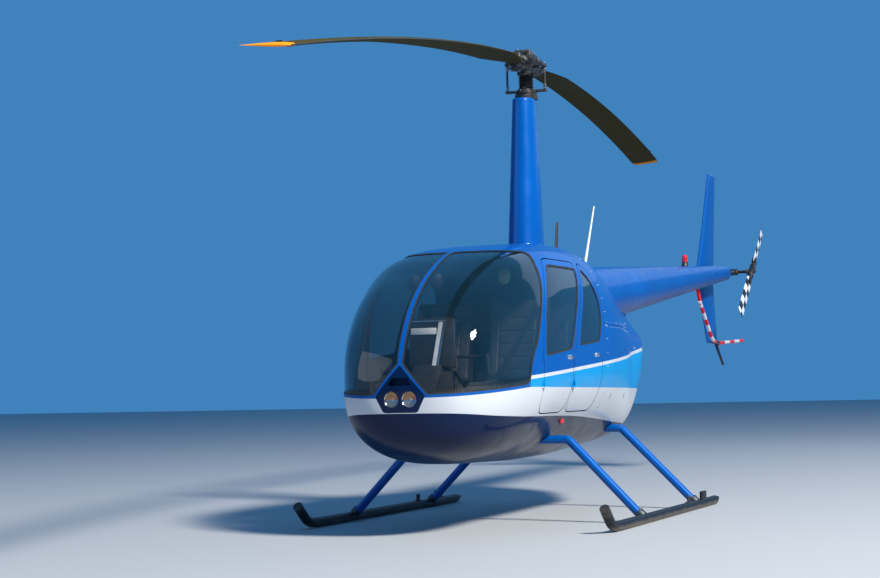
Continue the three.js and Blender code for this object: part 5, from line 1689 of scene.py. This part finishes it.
for row, rear, front, inner, outer_y in (("front", 1.810, 2.220, 0.060, 0.480), ("rear", 1.180, 1.550, 0.050, 0.490)):
    gap = 0.007
    y0, y1 = inner + gap, outer_y - gap
    middle = (y0 + y1) / 2
    base = [(rear - 0.010, 0.8515), (front - gap, 0.8515), (front - gap, 0.918), (front - 0.045, 0.943),
            (rear + 0.042, 0.932), (rear - 0.010, 0.925)]
    lean = [(rear - 0.082, 0.938), (rear + 0.030, 0.938), (rear - 0.093, 1.493), (rear - 0.170, 1.493)]
    sat_on = filled(bevelled(prism(rounded(base, 0.018, 4), y0, y1), 0.014, 3), 0.007, 0.8505)
    back = filled(bevelled(prism(rounded(lean, 0.030, 5), y0, y1), 0.016, 3), 0.007)
    cross = [rear + 0.060 + k * (front - rear - 0.12) / 4 for k in range(5)]
    rise = [1.02 + 0.085 * k for k in range(5)]
    for cushion, axis, stops in ((sat_on, 0, cross), (back, 2, rise)):
        def to_seam(places, axis=axis, stops=stops):
            across = np.min([np.abs(places[:, axis] - stop) for stop in stops], axis=0)
            within = np.abs(places[:, 1] - middle) < (y1 - y0) / 2 - 0.075
            facing = places[:, 2] > 0.89 if axis == 0 else places[:, 0] > rear - 0.060 - 0.22 * (places[:, 2] - 0.95)
            sides = np.abs(np.abs(places[:, 1] - middle) - ((y1 - y0) / 2 - 0.075))
            held = np.where(within, across, 9.0)
            inside = (places[:, axis] > stops[0]) & (places[:, axis] < stops[-1])
            return np.where(facing, np.minimum(held, np.where(inside, sides, 9.0)), 9.0)
        pressed(cushion, to_seam)
    half = (y1 - y0) / 2
    seams = [[(x, middle + t * (half - 0.08), 0.96) for t in np.linspace(-1, 1, 40)] for x in cross]
    back_x = lambda z: rear + 0.035 - 0.222 * (z - 0.938)
    back_seams = [[(back_x(z), middle + t * (half - 0.08), z) for t in np.linspace(-1, 1, 40)] for z in rise]
    stitches = [place for line in seams for place in laid(sat_on, line, 0.0006)]
    stitches += [place for line in back_seams for place in laid(back, line, 0.0006)]
    sewn = scattered(block((-0.0006, -0.0028, -0.0006), (0.0006, 0.0028, 0.0008)), stitches, "stitches")
    rim = [Vector((x, y, 0.938)) for x, y in ((rear + 0.01, y0), (front - 0.012, y0), (front - 0.012, y1),
                                              (rear + 0.01, y1))]
    back_rim = [Vector((back_x(z) - 0.012, y, z)) for z, y in ((0.96, y0), (1.485, y0), (1.485, y1), (0.96, y1))]
    welts = joined([welt(sat_on, rim), welt(back, back_rim)])
    lap = [(rear + 0.075 + 0.02 * math.sin(3 * t), y0 + 0.02 + t * (y1 - y0 - 0.04), 0.965)
           for t in np.linspace(0, 1, 26)]
    chest_line = [(back_x(z) + 0.01, y1 - 0.03 - 0.33 * (1.49 - z) / 0.52 * 0.9, z)
                  for z in np.linspace(1.49, 0.99, 26)]
    place = laid(sat_on, [(rear + 0.085, y0 + 0.075, 0.965)], 0.010)[0][0]
    buckle = block(place - Vector((0.030, 0.026, 0.008)), place + Vector((0.030, 0.026, 0.010)), 0.005)
    straps = grouped([belt(sat_on, lap), belt(back, chest_line)], [buckle])
    for shape, part, finish in ((sat_on, "cushion", leather), (back, "back", leather), (welts, "welts", leather),
                                (sewn, "stitches", thread), (straps, "belts", [webbing, machined])):
        halves = paired(shape, f"seat_{part}_{row}_{{}}", finish,
                        stands_for=f"seat_{row}_{{}}" if part == "cushion" else "", angle=60)

# %% [markdown]
# ## Console and controls
# The instruments stand in an upright box ahead of the front seats: dials face the crew, and the back of the box faces
# the windshield with bright strips and pale blank plates. These strips and plates are partly the housing's pale edge
# and partly painted highlight of light falling on that side. Each dial is a turned bezel, a dark face, ticks and a
# needle. Nothing is written on them.

# %% The console
def edge_strip(low_y, width):
    """A leaning strip on the edge of the housing's back."""
    return loft([[(x, y, z), (x, y + width, z), (x + 0.005, y + width, z), (x + 0.005, y, z)]
                 for x, y, z in ((2.6535, low_y, 1.050), (2.6400, low_y + 0.048, 1.322))])


pedestal_line = [(1620, 620.4), (2060, 620.4), (2020, 900), (1905, 1060), (1755, 1060), (1700, 760), (1620, 700)]
panel_line = [(1755, 1041), (1905, 1041), (1890, 1330), (1850, 1354), (1725, 1345)]
boxes = [bevelled(prism(metres(rounded(pedestal_line, 16, 4)), -0.095, 0.095), 0.005),
         bevelled(prism(metres(rounded(panel_line, 12, 4)), -0.125, 0.125), 0.004)]
# The bright metal strips and the pale plates stand partly for the lit side of the housing: painted highlight.
edges = [edge_strip(0.062, 0.013), block((2.500, 0.1245, 1.060), (2.520, 0.1262, 1.330), 0.0006),
         bar((2.640, -0.118, 1.331), (2.640, 0.118, 1.331), 0.0050, sides=12)]
sunlit_cards = [edge_strip(0.030, 0.026), block((2.641, -0.112, 1.248), (2.6485, 0.060, 1.288), 0.001)]
pale_card = mottled("pale_card", (18, 4), (0.80, 0.80, 0.80), (0.92, 0.92, 0.92), roughness=0.5)
bright_metal_painted_highlight = mottled("bright_edge_painted_highlight", (40, 4), (0.70, 0.71, 0.73), (0.86, 0.87, 0.88), metallic=1.0, roughness=0.25)
finished(grouped(boxes, edges, sunlit_cards), "console_housing", [black_plastic, bright_metal_painted_highlight, pale_card],
         stands_for=("console",))

# %% Dials and switches
dial_face = mottled("dial_face", (60, 3), (0.004, 0.004, 0.005), (0.010, 0.010, 0.011), roughness=0.6)
bezels, faces, marks = [], [], []
dials = [(y, z, 0.040) for z in (1.302, 1.210, 1.118) for y in (-0.060, 0.060)] + [(0, 1.256, 0.022), (0, 1.164, 0.022)]
for y, z, radius in dials:
    x = 2.505 - 0.030 * (z - 1.041) / 0.304
    bezels.append(turned([(radius * 0.84, -0.002), (radius, -0.002), (radius, 0.006), (radius * 0.94, 0.009),
                          (radius * 0.84, 0.006)], (x - 0.006, y, z), "X", 40))
    faces.append(bar((x - 0.004, y, z), (x + 0.004, y, z), radius * 0.86, sides=40))
    for k in range(10):
        tick = block((-0.0004, -0.0007, radius * 0.62), (0.0008, 0.0007, radius * 0.78))
        marks.append(moved(tick, (x - 0.0050, y, z), Matrix.Rotation(math.radians(-140 + 280 * k / 9), 4, "X")))
    needle = block((-0.0006, -0.0010, -radius * 0.15), (0.0008, 0.0010, radius * 0.66))
    marks.append(moved(needle, (x - 0.0062, y, z), Matrix.Rotation(y * 9 + z * 3, 4, "X")))
for k in range(6):
    y, z = -0.060 + 0.024 * k, 0.800 + 0.040 * k
    x = 2.450 + 0.055 * (z - 0.760) / 0.300
    marks.append(bar((x - 0.016, y, z), (x, y, z - 0.003), 0.003, sides=10, bevel=0.0006))
for made, name, finish in ((bezels, "bezels", black_plastic), (faces, "faces", dial_face), (marks, "marks", pale_card)):
    finished(joined(made), f"dial_{name}", finish)

# %% Stick, lever and pedals
foot = turned([(0, FLOOR_Z + 0.0004), (0.045, FLOOR_Z + 0.0004), (0.043, FLOOR_Z + 0.010), (0.030, FLOOR_Z + 0.016),
               (0.034, FLOOR_Z + 0.022), (0.024, FLOOR_Z + 0.030), (0.027, FLOOR_Z + 0.036), (0.016, FLOOR_Z + 0.046),
               (0, FLOOR_Z + 0.046)], (2.270, 0, 0), "Z", 40)
column = rounded_line([(2.270, 0, 0.650), (2.215, 0, 0.900), (2.190, 0, 1.060), (2.190, 0, 1.116)], 0.3)
column = tube(column, 0.013, 24)
top_bar = tube([(2.190, -0.226, 1.110), (2.190, 0.226, 1.110)], 0.0105, 24)
grips = []
for side in (1, -1):
    profile = [(0, 0)] + [(0.0145 + 0.0012 * math.cos(2.6 * k), 0.004 + 0.0055 * k) for k in range(21)] + [(0, 0.120)]
    grips.append(turned(profile, (2.190, side * 0.225, 0.990), Vector((0, -side * 0.083, 1)), 28))
    grips.append(bar((2.190, side * 0.215, 1.104), (2.190, side * 0.215, 1.126), 0.016, 0.012, 24, 0.002))
finished(grouped([column, top_bar], [foot, *grips]), "control_stick", [greasy, rubber],
         stands_for=("cyclic",))

levers = [tube(rounded_line([(1.860, 0.012, 0.860), (2.060, 0.012, 0.900), (2.190, 0.012, 0.985)], 0.4), 0.011, 16)]
rubbers = [bar((2.170, 0.012, 0.972), (2.255, 0.012, 1.028), 0.0155, bevel=0.003),
           block((1.830, -0.022, 0.8503), (1.930, 0.040, 0.872), 0.006)]
for y in (0.150, 0.320, -0.150, -0.320):
    levers.append(tube([(2.700, y, 0.6205), (2.690, y, 0.745)], 0.008, 12))
    rubbers.append(block((2.672, y - 0.036, 0.700), (2.682, y + 0.036, 0.775), 0.003))
finished(grouped(levers, rubbers), "lever_and_pedals", [machined, rubber])

# %% Headsets
# The green is brightened beyond the cups' own colour: painted light on the lit cup.
lit_cup_green = mottled("headset_cup_painted_light", (22, 3), (0.34, 0.50, 0.26), (0.44, 0.62, 0.34), roughness=0.35, coat_weight=0.5,
                    coat_roughness=0.1)


def headset(centre, name, across, lit_cup_finish):
    """Two cups on a sprung band that hangs from a hook in the roof. The left cup takes the given finish as painted
    light, and the right cup the dark rubber as painted shade.
    """
    centre = Vector(centre)
    band = tube([centre + Vector((0, across * math.cos(t), 0.105 + 0.085 * math.sin(t)))
                 for t in np.linspace(-0.15, math.pi + 0.15, 22)], 0.006, 10)
    pad = tube([centre + Vector((0, 0.6 * across * math.cos(t), 0.112 + 0.085 * math.sin(t)))
                for t in np.linspace(0.9, math.pi - 0.9, 10)], 0.011, 12)
    hook = tube([centre + Vector((0, 0, 0.182)), centre + Vector((0, 0, 0.235))], 0.004, 8)
    dark, cups = [band, pad, hook], []
    for side in (1, -1):
        at = centre + Vector((0, side * across, 0.045))
        tilt = (0.85, side * 0.55, 0)
        cup = turned([(0, 0.030), (0.022, 0.028), (0.032, 0.020), (0.036, 0.006), (0.036, 0), (0, 0)], at, tilt, 32)
        ring = turned([(0.016, -0.016), (0.032, -0.016), (0.036, -0.006), (0.034, -0.0005), (0.016, -0.0005)], at,
                      tilt, 32)
        for piece in (cup, ring):
            moved(moved(piece, -at), at, Matrix.Diagonal((1.2, 1.2, 1.6, 1)))
        stem = [at + Vector((0, side * 0.012, 0.030)), centre + Vector((0, side * across, 0.100))]
        dark += [ring, tube(stem, 0.004, 8)]
        # The left cup is painted as lit and the right one dark as painted shade.
        (cups if side > 0 else dark).append(cup)
    finished(grouped(dark, cups), name, [rubber, lit_cup_finish])


headset((1.700, 0.053, 1.605), "headset_rear", 0.104, lit_cup_green)
headset((2.250, -0.180, 1.560), "headset_front", 0.080, black_plastic)

# %% [markdown]
# ## Aerials and lights
# Small things break the smooth outline: a white whip aerial that leans back, a short dark one, a red lamp on the left
# side and a green one on the right.

# %% Aerials and lights
whip = tube([(-0.500, 0, 1.860), (-0.585, 0, 2.012), (-0.770, 0, 2.344)], [0.0125, 0.0095, 0.0060], 16)
whip_foot = turned([(0, 0), (0.022, 0), (0.020, 0.010), (0.012, 0.030), (0.009, 0.050), (0, 0.050)], (-0.500, 0, 1.845),
                   (-0.4, 0, 1), 24)
finished(joined([whip, whip_foot]), "whip_aerial", white_enamel)


def aerial_ring(chord, thickness, lean, z):
    """A section of the short aerial."""
    u, v = aerofoil(chord, thickness, 24)
    return ring_of(u * MM + 0.180 - lean, v * MM, z)


blade_aerial = loft([aerial_ring(*row) for row in (
    (84, 22, 0, 1.885), (60, 17, 0.012, 1.960), (50, 14, 0.030, 2.080), (44, 12, 0.044, 2.145))])
finished(blade_aerial, "blade_aerial", rubber)

green_lens = mottled("green_lens", (40, 3), (0.004, 0.22, 0.05), (0.010, 0.36, 0.09), **LENS)
red_lamp = mottled("red_lamp_lens", (40, 3), (0.45, 0.004, 0.006), (0.75, 0.010, 0.012), **LENS)
for side, glass, name in ((1, red_lamp, "red_side_lamp"), (-1, green_lens, "green_side_lamp")):
    place, facing = skin_point(870, 677, side)
    mount = turned([(0, 0.003), (0.023, 0.003), (0.025, 0.001), (0.025, -0.004), (0, -0.004)], place, facing, 32)
    bulb = turned([(0, 0.018), (0.010, 0.016), (0.016, 0.010), (0.019, 0.002), (0.019, -0.004), (0, -0.004)],
                  place + facing * 0.003, facing, 32)
    finished(grouped([bulb], [mount]), name, [glass, greasy])

# %% Cowl latches and towing brackets
latches = [seated(block((-0.0035, -0.020, -0.002), (0.0035, 0.020, 0.0012), 0.001), *skin_point(station, 829, side))
           for side in (1, -1) for station in (13, -420)]
finished(joined(latches), "cowl_latches", rubber)
brackets = []
for side in (1, -1):
    y = side * SKID_Y
    brackets.append(block((0.452, y - 0.007, 0.050), (0.500, y + 0.007, 0.112), 0.004))
    brackets.append(bar((0.476, y - 0.014, 0.092), (0.476, y + 0.014, 0.092), 0.008, bevel=0.001))
    brackets.append(block((0.440, y - 0.020, 0.056), (0.512, y + 0.020, 0.0655), 0.003))
finished(joined(brackets), "towing_brackets", gear_metal)

# %% [markdown]
# ## Clearing up
# The uncut walls were only stock, so they go.

# %% Clearing up and finishing
for stock in (cabin_wall, jamb_wall, glass_wall, strip_wall, cowl_wall, land_wall, pocket_wall):
    bpy.data.objects.remove(stock)
for slot in SLOTS:
    bpy.data.materials.remove(slot)
